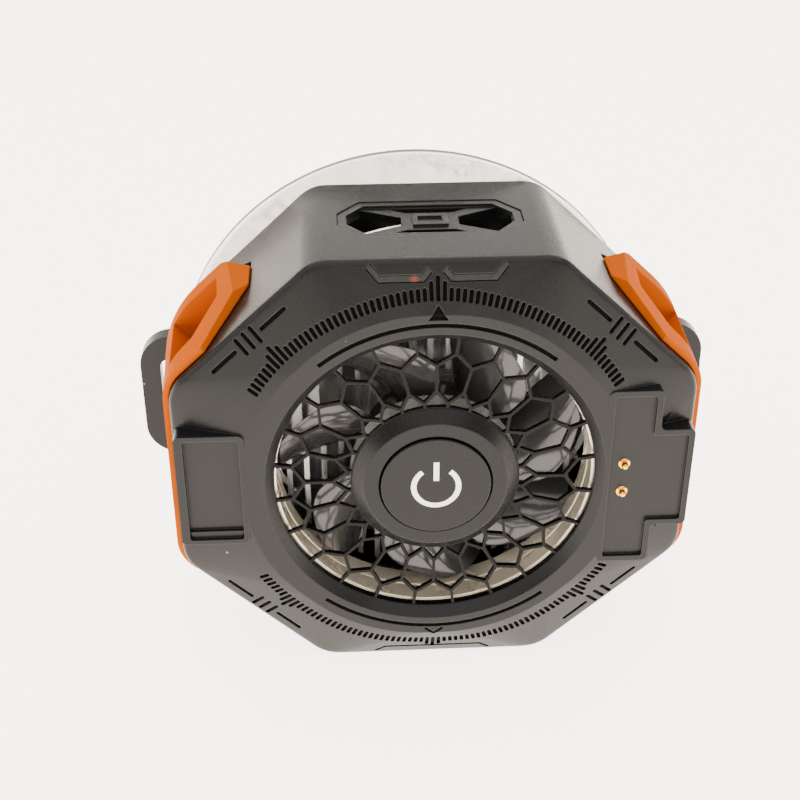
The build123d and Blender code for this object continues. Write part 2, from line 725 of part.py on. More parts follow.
def power_button():
    """Round button with the flange that holds it behind the cap."""
    flange_front = CUP_FRONT + BUTTON_SEAT_GAP
    front = CAP_FRONT - BUTTON_PROUD
    return turned(
        (0, front),
        (BUTTON_RADIUS - BUTTON_BEVEL, front),
        (BUTTON_RADIUS, front + BUTTON_BEVEL),
        (BUTTON_RADIUS, flange_front),
        (BUTTON_RADIUS + BUTTON_FLANGE, flange_front),
        (BUTTON_RADIUS + BUTTON_FLANGE, BUTTON_BACK),
        (0, BUTTON_BACK),
    )


def button_board():
    """Round board on the floor of the hub cup."""
    radius = HUB_RADIUS - HUB_WALL - FIT
    return slab(Circle(radius), BUTTON_BOARD_FRONT, CUP_BACK - HUB_FLOOR)


def button_switch():
    """Switch body with the bore of its plunger."""
    body = slab(Rectangle(SWITCH_SIDE, SWITCH_SIDE), SWITCH_FRONT, BUTTON_BOARD_FRONT)
    bore = Circle(PLUNGER_RADIUS + PLUNGER_FIT)
    return body - slab(bore, SWITCH_FRONT, BUTTON_BOARD_FRONT - SWITCH_FLOOR)


def switch_plunger():
    """Plunger between the button and the switch."""
    tip = BUTTON_BOARD_FRONT - SWITCH_FLOOR - BUTTON_TRAVEL - PLUNGER_FIT
    return slab(Circle(PLUNGER_RADIUS), BUTTON_BACK, tip)


# Sprung contacts and control board


def contact_barrels():
    """Barrels of the two contacts, with their flanges on the pad."""
    barrels = []
    for point in CONTACT_POINTS:
        barrel = rods([point], BARREL_FRONT, PAD_FLOOR, CONTACT_FLANGE_RADIUS)
        barrel += rods([point], PAD_FLOOR, BOARD_BACK, CONTACT_BARREL_RADIUS)
        bore = CONTACT_PIN_RADIUS + CONTACT_PIN_FIT
        barrels.append(barrel - rods([point], BARREL_FRONT, BOARD_BACK - CONTACT_BASE, bore))
    return group(barrels)


def contact_pin(point):
    """Plunger pin with a blunt tip."""
    tip = BARREL_FRONT - CONTACT_PIN_PROUD
    pin = rods([point], tip, tip + CONTACT_PIN_LENGTH, CONTACT_PIN_RADIUS)
    return fillet(pin.edges().group_by(Axis.Y)[0], CONTACT_PIN_TIP)


def control_board():
    """Board behind the docking pad, on two posts."""
    half = BOARD_HEIGHT / 2
    board = slab(span(BOARD_INNER, BOARD_OUTER, -half, half), BOARD_FRONT, BOARD_BACK)
    board -= rods(CONTACT_POINTS, BOARD_FRONT, BOARD_BACK, CONTACT_BARREL_RADIUS + SCREW_FIT)
    return board - rods(BOARD_POINTS, BOARD_FRONT, BOARD_BACK, SCREW_HOLE)


# Fan shroud, rotor and motor


def fan_shroud():
    """Ring round the blades, with a flange and four screw tabs."""
    tube = Circle(SHROUD_BORE + SHROUD_WALL) - Circle(SHROUD_BORE)
    tabs = [Pos(*point) * Circle(SHROUD_TAB_RADIUS) for point in SHROUD_POINTS]
    flange = Circle(SHROUD_FLANGE_RADIUS) + tabs - Circle(SHROUD_BORE)
    shroud = slab(tube, SHROUD_SEAT, SHROUD_SEAT + SHROUD_DEPTH)
    shroud += slab(flange, SHROUD_SEAT, SHROUD_BACK)
    return shroud - rods(SHROUD_POINTS, SHROUD_SEAT, SHROUD_BACK, SCREW_HOLE)


def blade_section(radius, sweep, width, depth):
    """Curved blade profile on a plane square to the blade."""
    x, z = polar(radius, sweep)
    along = (-sin(radians(sweep)), 0, cos(radians(sweep)))
    plane = Plane(origin=(x, ROTOR_MIDDLE, AXIS_Z + z), x_dir=along, z_dir=(x / radius, 0, z / radius))
    chord = hypot(width, depth)
    rise = chord * BLADE_CAMBER_SHARE
    start, end = (width / 2, -depth / 2), (-width / 2, depth / 2)
    across = (depth / chord, width / chord)
    crowns = [rise + side * BLADE_THICK / 2 for side in (-1, 1)]
    inside, outside = [(crown * across[0], crown * across[1]) for crown in crowns]
    return plane * make_face([ThreePointArc(start, outside, end), ThreePointArc(end, inside, start)])


def fan_rotor():
    """Hub cup with swept blades."""
    inside = ROTOR_FRONT + ROTOR_HUB_FRONT
    boss_back = inside + ROTOR_BOSS_DEPTH
    wall = ROTOR_HUB_RADIUS - ROTOR_HUB_WALL
    rotor = turned(
        (0, ROTOR_FRONT),
        (ROTOR_HUB_RADIUS, ROTOR_FRONT),
        (ROTOR_HUB_RADIUS, ROTOR_BACK),
        (wall, ROTOR_BACK),
        (wall, inside),
        (ROTOR_BOSS_RADIUS, inside),
        (ROTOR_BOSS_RADIUS, boss_back),
        (SHAFT_RADIUS, boss_back),
        (SHAFT_RADIUS, SHAFT_FRONT),
        (0, SHAFT_FRONT),
    )
    root = ROTOR_HUB_RADIUS - ROTOR_HUB_WALL / 2
    tip = SHROUD_BORE - BLADE_TIP_GAP
    radii = (root, root + (tip - root) * BLADE_MID_SHARE, tip)
    sections = []
    for radius, sweep, width_share, depth_share in zip(
        radii, BLADE_SWEEPS, BLADE_WIDTH_SHARES, BLADE_DEPTH_SHARES
    ):
        pitch = 2 * radius * sin(radians(180 / BLADES))
        sections.append(blade_section(radius, sweep, pitch * width_share, BLADE_DEPTH * depth_share))
    blade = loft(sections) & slab(Circle(tip), ROTOR_FRONT - OVERRUN, ROTOR_BACK + OVERRUN)
    for index in range(BLADES):
        rotor += blade.rotate(FAN_AXIS, -BLADE_PHASE - 360 * index / BLADES)
    return rotor


def ring(inner, outer, y_front, y_back):
    """Plain ring about the fan axis."""
    return slab(Circle(outer) - Circle(inner), y_front, y_back)


def motor_base():
    """Flange on the heat sink with the tube that holds the bearings."""
    tube = ring(BEARING_RADIUS, TUBE_RADIUS, TUBE_FRONT, SINK_FRONT)
    flange = ring(BEARING_RADIUS, MOTOR_FLANGE_RADIUS, MOTOR_SEAT, SINK_FRONT)
    return tube + flange - rods(MOTOR_POINTS, MOTOR_SEAT, SINK_FRONT, SCREW_HOLE)


def bearing(y_front):
    """Ball bearing, drawn as one ring."""
    return ring(SHAFT_RADIUS + SHAFT_FIT, BEARING_RADIUS, y_front, y_front + BEARING_WIDTH)


def tooth_turns():
    """Turns that carry one stator tooth to all the others."""
    return [Rot(0, 0, 360 * index / STATOR_TEETH) for index in range(STATOR_TEETH)]


def stator_core():
    """Laminated core with nine teeth."""
    hub = TUBE_RADIUS + STATOR_HUB_WALL
    tip = STATOR_RADIUS - TOOTH_TIP_WALL
    tooth = span(hub - FIT, tip + FIT, -TOOTH_WIDTH / 2, TOOTH_WIDTH / 2)
    gap = span(tip - FIT, STATOR_RADIUS + FIT, -TOOTH_TIP_GAP / 2, TOOTH_TIP_GAP / 2)
    half_pitch = Rot(0, 0, 180 / STATOR_TEETH)
    tips = Circle(STATOR_RADIUS) - Circle(tip) - [turn * half_pitch * gap for turn in tooth_turns()]
    core = Circle(hub) - Circle(TUBE_RADIUS) + [turn * tooth for turn in tooth_turns()] + tips
    return slab(core, STATOR_FRONT, STATOR_FRONT + STATOR_DEPTH)


def stator_coils():
    """One coil round each tooth."""
    inner = TUBE_RADIUS + STATOR_HUB_WALL + CLEAR
    outer = STATOR_RADIUS - TOOTH_TIP_WALL - CLEAR
    half = TOOTH_WIDTH / 2 + FIT
    coil = slab(span(inner, outer, -half - COIL_WALL, half + COIL_WALL), COIL_FRONT, COIL_BACK)
    coil -= slab(span(inner, outer, -half, half), STATOR_FRONT - FIT, STATOR_FRONT + STATOR_DEPTH + FIT)
    return group(coil.rotate(FAN_AXIS, 360 * index / STATOR_TEETH) for index in range(STATOR_TEETH))


# Heat sink, light board and disc


def heat_sink():
    """Round base with upright fins and four screw lugs."""
    arm = span(0, SINK_SCREW_RADIUS, -SINK_LUG_RADIUS, SINK_LUG_RADIUS)
    lugs = [Pos(*point) * Circle(SINK_LUG_RADIUS) for point in SINK_POINTS]
    arms = [Rot(0, 0, SINK_SCREW_ANGLE + 90 * index) * arm for index in range(4)]
    base = slab(Circle(SINK_RADIUS) + arms + lugs, SINK_FRONT, SINK_BACK)
    base -= rods(SINK_POINTS, SINK_FRONT, SINK_BACK, SCREW_HOLE)
    base -= rods(MOTOR_POINTS, SINK_FRONT, SINK_FRONT + MOTOR_SCREW_LENGTH, SCREW_HOLE)
    count = int((SINK_FIN_RADIUS - FIN_PITCH) / FIN_PITCH)
    fins = [
        Pos(index * FIN_PITCH, 0) * Rectangle(FIN_THICK, 2 * SINK_FIN_RADIUS)
        for index in range(-count, count + 1)
    ]
    field = Circle(SINK_FIN_RADIUS) - Circle(ROTOR_HUB_RADIUS + FIN_MOTOR_GAP)
    return base + slab(field & (Sketch() + fins), ROTOR_BACK + BLADE_FIN_GAP, SINK_FRONT)


def light_board():
    """Ring board on the back of the heat sink."""
    return ring(LIGHT_BOARD_BORE, LIGHT_BOARD_RADIUS, SINK_BACK, SINK_BACK + LIGHT_BOARD_THICK)


def light_chips():
    """Light chips in two rings."""
    front = SINK_BACK + LIGHT_BOARD_THICK
    chip = Rectangle(LIGHT_CHIP, LIGHT_CHIP)
    chips = []
    for radius, count in LIGHT_CHIP_RINGS:
        for index in range(count):
            place = Rot(0, 0, 360 * index / count) * Pos(radius, 0)
            chips.append(slab(place * chip, front, front + LIGHT_CHIP_THICK))
    return group(chips)


def light_disc():
    """Translucent disc that reaches down to the base plane."""
    disc = slab(DISC_PLACE * Circle(DISC_RADIUS), DISC_FRONT, DISC_BACK)
    return fillet(disc.edges(), DISC_EDGE)


def disc_film():
    """Clear film on the back of the disc."""
    return slab(DISC_PLACE * Circle(DISC_RADIUS - FILM_INSET), DISC_BACK, FILM_BACK)


def film_tab():
    """Pull tab that sticks out past the right ear."""
    tab = span(TAB_REACH - TAB_LENGTH, TAB_REACH, TAB_TOP - TAB_HEIGHT, TAB_TOP)
    return slab(fillet(tab.vertices(), TAB_CORNER), FILM_BACK, FILM_BACK + TAB_THICK)


# Housing and rear cover


def ears(spare=0.0):
    """Outline of both strap ears, grown by a clearance."""
    half = EAR_HEIGHT / 2
    root = HALF_WIDTH / 2
    tab = fillet(span(root, EAR_REACH, -half, half).vertices(), EAR_CORNER)
    step = fillet(span(root, EAR_STEP_REACH, -half - EAR_STEP_DROP, 0).vertices(), EAR_STEP_CORNER)
    ear = offset(tab + step, spare) if spare else tab + step
    return ear + mirrored(ear)


def strap_slots():
    """Outline of the slot in each ear."""
    outer = EAR_REACH - SLOT_RIM
    slot = span(outer - SLOT_WIDTH, outer, -SLOT_LENGTH / 2, SLOT_LENGTH / 2)
    slot = fillet(slot.vertices(), SLOT_CORNER)
    return slot + mirrored(slot)


def rear_cover():
    """Plate let into the back of the housing, with ears, posts and gasket groove."""
    plate = body_outline(SHELL_WALL + FIT) + ears() - Circle(COVER_HOLE_RADIUS) - strap_slots()
    cover = slab(plate, COVER_FRONT, REAR) + rods(SINK_POINTS, SINK_BACK, COVER_FRONT, SINK_POST_RADIUS)
    sink_pilot = SINK_SCREW_LENGTH - SINK_BASE + PILOT_SPARE
    cover -= rods(SINK_POINTS, SINK_BACK, SINK_BACK + sink_pilot, SCREW_HOLE)
    cover -= rods(POST_POINTS, COVER_FRONT, REAR, SCREW_HOLE)
    cover -= rods(POST_POINTS, COVER_SCREW_SEAT, REAR, SCREW_HEAD_RADIUS + CLEAR)
    return cover - ring(GASKET_INNER - FIT, GASKET_INNER + GASKET_WIDTH + FIT, GASKET_FRONT, REAR)


def lid(outline, top, bottom):
    """Outline drawn from above, made solid between two depths below the top wall."""
    plane = Plane(origin=(0, 0, BODY_HEIGHT - bottom), x_dir=(1, 0, 0), z_dir=(0, 0, 1))
    return extrude(plane * outline, amount=bottom - top)


def vent_outline(inset=0.0):
    """Long octagon of the vent, moved inwards by an inset."""
    length, width = VENT_LENGTH / 2, VENT_WIDTH / 2
    long_flat, short_flat = VENT_LONG_FLAT / 2, VENT_SHORT_FLAT / 2
    upper = [(length, short_flat), (long_flat, width), (-long_flat, width), (-length, short_flat)]
    face = polygon(*upper, *[(-x, -y) for x, y in upper])
    return offset(face, -inset, kind=Kind.INTERSECTION) if inset else face


def vent_share(shares):
    """Opening in the vent plate, from shares of the vent's half length and half width."""
    return polygon(*[(x * VENT_LENGTH / 2, y * VENT_WIDTH / 2) for x, y in shares])


def top_vent():
    """Bow-tie vent plate with its flange."""
    back = VENT_PLATE_DEPTH + VENT_PLATE_THICK
    insert = lid(vent_outline(FIT), VENT_SUNK, VENT_SEAT_DEPTH)
    insert += lid(vent_outline(VENT_SEAT_WIDTH + FIT), VENT_SUNK, back)
    insert -= lid(vent_outline(VENT_FRAME), -OVERRUN, VENT_PLATE_DEPTH)
    window = vent_share(VENT_WINDOW_SHARES)
    slit = vent_share(VENT_SLIT_SHARES)
    half_turn = Rot(0, 0, 180)
    openings = window + half_turn * window + slit + half_turn * slit
    insert -= lid(openings, VENT_PLATE_DEPTH - FIT, back + OVERRUN)
    box = Rectangle(VENT_BOX_LENGTH, VENT_BOX_WIDTH)
    box -= Rectangle(VENT_BOX_LENGTH - 2 * VENT_BOX_WALL, VENT_BOX_WIDTH - 2 * VENT_BOX_WALL)
    return insert + lid(box, VENT_PLATE_DEPTH - VENT_BOX_RISE, VENT_PLATE_DEPTH)


def wall_plane(offset_out=0.0):
    """Plane on the upper left wall: x runs up the wall from the side corner, y to the back."""
    corner = Vector(-HALF_WIDTH, SEAM, AXIS_Z + SIDE_FLAT / 2)
    normal = Vector(-NORMAL_X, 0, NORMAL_Z)
    return Plane(origin=corner + normal * offset_out, x_dir=(NORMAL_Z, 0, NORMAL_X), z_dir=normal)


def on_wall(outline, low, high):
    """Outline drawn on the upper left wall, made solid between two heights over it."""
    return extrude(wall_plane(low) * outline, amount=high - low)


def scoop_outline(grown=0.0):
    """Outline of the finger scoop on the wall."""
    face = polygon(
        (SCOOP_LOW, SCOOP_FRONT),
        (SCOOP_KNEE, SCOOP_KNEE_FRONT),
        (SCOOP_HIGH, SCOOP_HIGH_FRONT),
        (SCOOP_HIGH, SCOOP_REAR),
        (SCOOP_LOW, SCOOP_REAR),
    )
    return offset(face, grown, kind=Kind.INTERSECTION) if grown else face


def main_housing():
    """Octagonal tube with a vent seat, ear notches, grip windows and the rear ledge."""
    inside = body_outline(SHELL_WALL)
    shell = slab(body_outline() - inside, SEAM, REAR)
    ledge = inside - body_outline(SHELL_WALL + LEDGE_WIDTH)
    shell += slab(ledge, COVER_FRONT - LEDGE_HEIGHT, COVER_FRONT)
    vent = lid(vent_outline(), -OVERRUN, VENT_SEAT_DEPTH)
    vent += lid(vent_outline(VENT_SEAT_WIDTH), 0, SHELL_WALL + OVERRUN)
    shell -= vent
    shell -= slab(ears(FIT), COVER_FRONT, REAR + OVERRUN)
    window = on_wall(scoop_outline(SCOOP_WALL + CLEAR), -SCOOP_DEPTH, OVERRUN)
    gap = polygon(
        (GRIP_REAR_START, GRIP_REAR),
        (GRIP_REACH, GRIP_END_REAR),
        (GRIP_REACH, GRIP_END_REAR + GRIP_GAP),
        (GRIP_REAR_START, GRIP_REAR + GRIP_GAP),
    )
    window += on_wall(gap, -SHELL_WALL - OVERRUN, OVERRUN)
    return shell - window - mirrored(window)


def side_grip():
    """Left grip: a band round the side corner with a finger scoop let into the wall."""
    front, rear = SEAM + GRIP_FRONT, SEAM + GRIP_REAR
    arch = fillet(polygon(*body_corners(-GRIP_PROUD_REAR)).vertices(), GRIP_REAR_ROUND)
    outer = loft([facing(front) * body_outline(-GRIP_PROUD_FRONT), facing(rear) * arch], ruled=True)
    foot = -SIDE_FLAT / 2 - GRIP_TAIL
    region = slab(span(-BODY_WIDTH, 0, foot, BODY_HEIGHT), front, rear)
    beyond = span(GRIP_REACH, GRIP_REACH + BODY_WIDTH, GRIP_FRONT - OVERRUN, GRIP_REAR + OVERRUN)
    region -= on_wall(beyond, -BODY_WIDTH, BODY_WIDTH)
    band = outer & region
    deep = SCOOP_DEPTH + SCOOP_WALL
    basin = on_wall(scoop_outline(SCOOP_WALL), -deep, GRIP_PROUD_REAR + OVERRUN) & band
    grip = band - slab(body_outline(-FIT), front - OVERRUN, rear + OVERRUN) + basin
    high = GRIP_PROUD_REAR + OVERRUN
    front_corner = polygon(
        (GRIP_RIM_START, GRIP_FRONT - OVERRUN),
        (GRIP_RIM_START, GRIP_FRONT),
        (GRIP_REACH, GRIP_END_FRONT),
        (GRIP_REACH + OVERRUN, GRIP_END_FRONT),
        (GRIP_REACH + OVERRUN, GRIP_FRONT - OVERRUN),
    )
    rear_corner = polygon(
        (GRIP_REAR_START, GRIP_REAR + OVERRUN),
        (GRIP_REAR_START, GRIP_REAR),
        (GRIP_REACH, GRIP_END_REAR),
        (GRIP_REACH + OVERRUN, GRIP_END_REAR),
        (GRIP_REACH + OVERRUN, GRIP_REAR + OVERRUN),
    )
    grip -= on_wall(front_corner + rear_corner, -OVERRUN, high)
    wall = wall_plane()
    section = Plane(origin=wall.origin + (0, GRIP_REAR, 0), x_dir=wall.x_dir, z_dir=(0, -1, 0))
    end = polygon(
        (GRIP_REACH, GRIP_END_LIFT),
        (GRIP_REACH - GRIP_END_SLOPE, high),
        (GRIP_REACH + OVERRUN, high),
        (GRIP_REACH + OVERRUN, GRIP_END_LIFT),
    )
    grip -= extrude(section * end, amount=GRIP_REAR)
    return grip - on_wall(scoop_outline(), -SCOOP_DEPTH, high)


def battery():
    """Flat battery pack against the right wall."""
    outer = HALF_WIDTH - SHELL_WALL - CLEAR
    half = BATTERY_HEIGHT / 2
    back = COVER_FRONT - LEDGE_HEIGHT - CLEAR
    pack = slab(span(outer - BATTERY_THICK, outer, -half, half), back - BATTERY_DEPTH, back)
    return fillet(pack.edges().filter_by(Axis.Y), BATTERY_ROUND)


def screws(points, y_seat, length, towards):
    """Group of like screws."""
    return group(screw(x, z, y_seat, length, towards) for x, z in points)


COVER_FORM = cover_form()
RIGHT_PIPE = light_pipe()
LEFT_GRIP = side_grip()
RIGHT_BATTERY = battery()
UPPER_CONTACT, LOWER_CONTACT = CONTACT_POINTS

PARTS = {
    "front_cover": front_cover(),
    "light_pipe_left": mirrored(RIGHT_PIPE),
    "light_pipe_right": RIGHT_PIPE,
    "indicator_board": indicator_board(),
    "indicator_chips": indicator_chips(),
    "guard_grille": guard_grille(),
    "hub_cap": hub_cap(),
    "power_button": power_button(),
    "button_board": button_board(),
    "button_switch": button_switch(),
    "switch_plunger": switch_plunger(),
    "contact_barrels": contact_barrels(),
    "contact_pin_upper": contact_pin(UPPER_CONTACT),
    "contact_pin_lower": contact_pin(LOWER_CONTACT),
    "control_board": control_board(),
    "fan_shroud": fan_shroud(),
    "fan_rotor": fan_rotor(),
    "rotor_can": ring(MAGNET_RADIUS, CAN_RADIUS, CAN_FRONT, CAN_FRONT + CAN_DEPTH),
    "magnet_ring": ring(MAGNET_RADIUS - MAGNET_WALL, MAGNET_RADIUS, CAN_FRONT, CAN_FRONT + CAN_DEPTH),
    "motor_shaft": slab(Circle(SHAFT_RADIUS), SHAFT_FRONT, SINK_FRONT - CLEAR),
    "front_bearing": bearing(TUBE_FRONT),
    "rear_bearing": bearing(SINK_FRONT - BEARING_WIDTH),
    "stator_core": stator_core(),
    "stator_coils": stator_coils(),
    "motor_base": motor_base(),
    "heat_sink": heat_sink(),
    "light_board": light_board(),
    "light_chips": light_chips(),
    "light_disc": light_disc(),
    "disc_gasket": ring(GASKET_INNER, GASKET_INNER + GASKET_WIDTH, GASKET_FRONT, DISC_FRONT),
    "disc_film": disc_film(),
    "film_tab": film_tab(),
    "rear_cover": rear_cover(),
    "main_housing": main_housing(),
    "top_vent": top_vent(),
    "side_grip_left": LEFT_GRIP,
    "side_grip_right": mirrored(LEFT_GRIP),
    "battery_left": mirrored(RIGHT_BATTERY),
    "battery_right": RIGHT_BATTERY,
    "cover_screws": screws(POST_POINTS, COVER_SCREW_SEAT, COVER_SCREW_LENGTH, -1),
    "shroud_screws": screws(SHROUD_POINTS, SHROUD_BACK, SHROUD_SCREW_LENGTH, -1),
    "sink_screws": screws(SINK_POINTS, SINK_FRONT, SINK_SCREW_LENGTH, 1),
    "motor_screws": screws(MOTOR_POINTS, MOTOR_SEAT, MOTOR_SCREW_LENGTH, 1),
    "board_screws": screws(BOARD_POINTS, BOARD_BACK, BOARD_SCREW_LENGTH, -1),
}

os.makedirs("parts", exist_ok=True)
for name, shape in PARTS.items():
    export_step(shape, f"parts/{name}.step")
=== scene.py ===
import logging
import math
from abc import ABC, abstractmethod
from dataclasses import dataclass
from enum import Enum
from typing import Any, Iterable, Mapping, Sequence

import bpy
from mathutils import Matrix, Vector
from mathutils.bvhtree import BVHTree


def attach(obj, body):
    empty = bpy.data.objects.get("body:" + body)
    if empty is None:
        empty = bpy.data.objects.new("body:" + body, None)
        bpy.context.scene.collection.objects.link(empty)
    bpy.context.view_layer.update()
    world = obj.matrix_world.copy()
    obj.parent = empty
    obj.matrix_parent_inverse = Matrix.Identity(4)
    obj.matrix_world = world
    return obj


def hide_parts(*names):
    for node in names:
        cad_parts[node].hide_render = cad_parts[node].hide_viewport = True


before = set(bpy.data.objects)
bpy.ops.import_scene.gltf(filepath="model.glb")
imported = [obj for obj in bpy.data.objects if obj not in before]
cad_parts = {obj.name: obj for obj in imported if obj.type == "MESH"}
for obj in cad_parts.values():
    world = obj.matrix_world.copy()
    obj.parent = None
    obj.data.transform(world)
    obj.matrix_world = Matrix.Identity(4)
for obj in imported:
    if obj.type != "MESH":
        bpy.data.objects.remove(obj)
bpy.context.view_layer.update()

LOG = logging.getLogger("rechargeable_fan")

# One millimetre in scene units. The fan axis runs along +Y at AXIS_Z, and depths are counted from the seam
# between the front cover and the housing, positive to the back.
MM = 0.001
AXIS_Z = 49.7
SEAM = -18.5
EDGE_ANGLE = math.radians(32)
# The facets of the CAD meshes meet at less than this.
FACET_ANGLE = math.radians(11)
MERGE_DISTANCE = 0.002 * MM

# Most values of a noise pattern lie in this range.
PATTERN_RANGE = (0.3, 0.7)
PATTERN_MIDDLE = 0.5
# A crease fades over this distance from the middle of its pattern.
CREASE_REACH = (0.02, 0.0)
# Rays that look for edges or walls near a point of a surface.
NEAR_RAYS = 6
# A drawn line is so many times as long as it is wide.
LINE_STRETCH = 14.0
ACRYLIC_IOR = 1.49
FILM_IOR = 1.47

Point = tuple[float, float]
Place = tuple[float, float, float]
Colour = tuple[float, float, float, float]
Tree = bpy.types.NodeTree
Node = bpy.types.Node
Socket = bpy.types.NodeSocket
Piece = bpy.types.Object


class Body(Enum):
    """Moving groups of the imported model."""

    HOUSING = "housing"
    ROTOR = "rotor"
    BUTTON = "button"
    UPPER_CONTACT = "upper_contact"
    LOWER_CONTACT = "lower_contact"


class Lay(Enum):
    """Direction in which a metal was drawn, rolled or turned, as the scale of its pattern along each axis."""

    ALONG_X = (1.0, LINE_STRETCH, LINE_STRETCH)
    ALONG_Y = (LINE_STRETCH, 1.0, LINE_STRETCH)
    ALONG_Z = (LINE_STRETCH, LINE_STRETCH, 1.0)


# Materials


def linear(code: str, share: float = 1.0) -> Colour:
    """Turn an sRGB hex colour into linear light, with the numbers of the sRGB standard.

    Args:
        code: Six hex digits after a hash sign.
        share: Share of the light that is kept.

    Returns:
        Red, green, blue and full opacity.
    """
    parts = [int(code[start:start + 2], 16) / 255 for start in (1, 3, 5)]
    red, green, blue = [share * (p / 12.92 if p <= 0.04045 else ((p + 0.055) / 1.055) ** 2.4) for p in parts]
    return red, green, blue, 1.0


def per_mm(size: float) -> float:
    """Pattern scale that gives a feature of so many millimetres."""
    return 1 / (size * MM)


def between(limits: Point) -> dict[str, float]:
    """Inputs of a map range that runs from one limit to the other."""
    return {"From Min": limits[0], "From Max": limits[1]}


def add_node(
    tree: Tree,
    kind: str,
    inputs: Mapping[str | int, Any] | None = None,
    **settings: Any,
) -> Node:
    """Add a node with its settings, values and links.

    Args:
        tree: Node tree that gets the node.
        kind: Type name of the node.
        inputs: Value, or output socket to link from, for each input by name or number.
        settings: Properties of the node.

    Returns:
        The new node.
    """
    node = tree.nodes.new(kind)
    for name, value in settings.items():
        setattr(node, name, value)
    for name, value in (inputs or {}).items():
        if isinstance(value, Socket):
            tree.links.new(value, node.inputs[name])
        else:
            node.inputs[name].default_value = value
    return node


@dataclass(frozen=True)
class Finish(ABC):
    """A material with the way its surface was made."""

    name: str

    def material(self) -> bpy.types.Material:
        """Give the Blender material, made on first use.

        Returns:
            The material.
        """
        made = bpy.data.materials.get(self.name)
        if made is None:
            made = bpy.data.materials.new(self.name)
            made.use_nodes = True
            tree = made.node_tree
            place = add_node(tree, "ShaderNodeTexCoord").outputs["Object"]
            self.paint(tree, tree.nodes["Principled BSDF"], place)
        return made

    @abstractmethod
    def paint(self, tree: Tree, shader: Node, place: Socket) -> None:
        """Set up the shader.

        Args:
            tree: Node tree of the material.
            shader: Its main shader.
            place: Object coordinates, in metres.
        """

    def skin(
        self,
        tree: Tree,
        shader: Node,
        pattern: Socket,
        gloss: Point,
        height_mm: float,
        edge_mm: float,
        relief: Socket | None = None,
    ) -> Socket:
        """Let a pattern vary the gloss and lift the surface, and soften the edges.

        Args:
            tree: Node tree of the material.
            shader: Its main shader.
            pattern: Pattern with most values in PATTERN_RANGE.
            gloss: Roughness at the low and the high values.
            height_mm: Height of the pattern.
            edge_mm: Radius of the soft edges.
            relief: Pattern that lifts the surface, if another one does.

        Returns:
            Normal with the soft edges alone.
        """
        rough = add_node(
            tree,
            "ShaderNodeMapRange",
            {"Value": pattern, **between(PATTERN_RANGE), "To Min": gloss[0], "To Max": gloss[1]},
        )
        edge = add_node(tree, "ShaderNodeBevel", {"Radius": edge_mm * MM}, samples=NEAR_RAYS)
        lifted = add_node(
            tree,
            "ShaderNodeBump",
            {
                "Strength": 1.0,
                "Distance": height_mm * MM,
                "Height": pattern if relief is None else relief,
                "Normal": edge.outputs["Normal"],
            },
        )
        tree.links.new(rough.outputs["Result"], shader.inputs["Roughness"])
        tree.links.new(lifted.outputs["Normal"], shader.inputs["Normal"])
        return edge.outputs["Normal"]

    def creases(self, tree: Tree, place: Socket, pitch_mm: float, share: float) -> Socket:
        """Draw thin wavy lines, as of a film that was lifted and laid down again.

        Args:
            tree: Node tree of the material.
            place: Object coordinates.
            pitch_mm: Size of the waves.
            share: Value on the lines.

        Returns:
            Pattern that is 0 between the lines.
        """
        wave = add_node(
            tree,
            "ShaderNodeTexNoise",
            {"Vector": place, "Scale": per_mm(pitch_mm), "Detail": 3.0, "Distortion": 0.8},
        )
        level = add_node(
            tree, "ShaderNodeMath", {0: wave.outputs["Fac"], 1: PATTERN_MIDDLE}, operation="SUBTRACT"
        )
        near = add_node(tree, "ShaderNodeMath", {0: level.outputs["Value"]}, operation="ABSOLUTE")
        line = add_node(
            tree,
            "ShaderNodeMapRange",
            {"Value": near.outputs["Value"], **between(CREASE_REACH), "To Max": share},
        )
        return line.outputs["Result"]


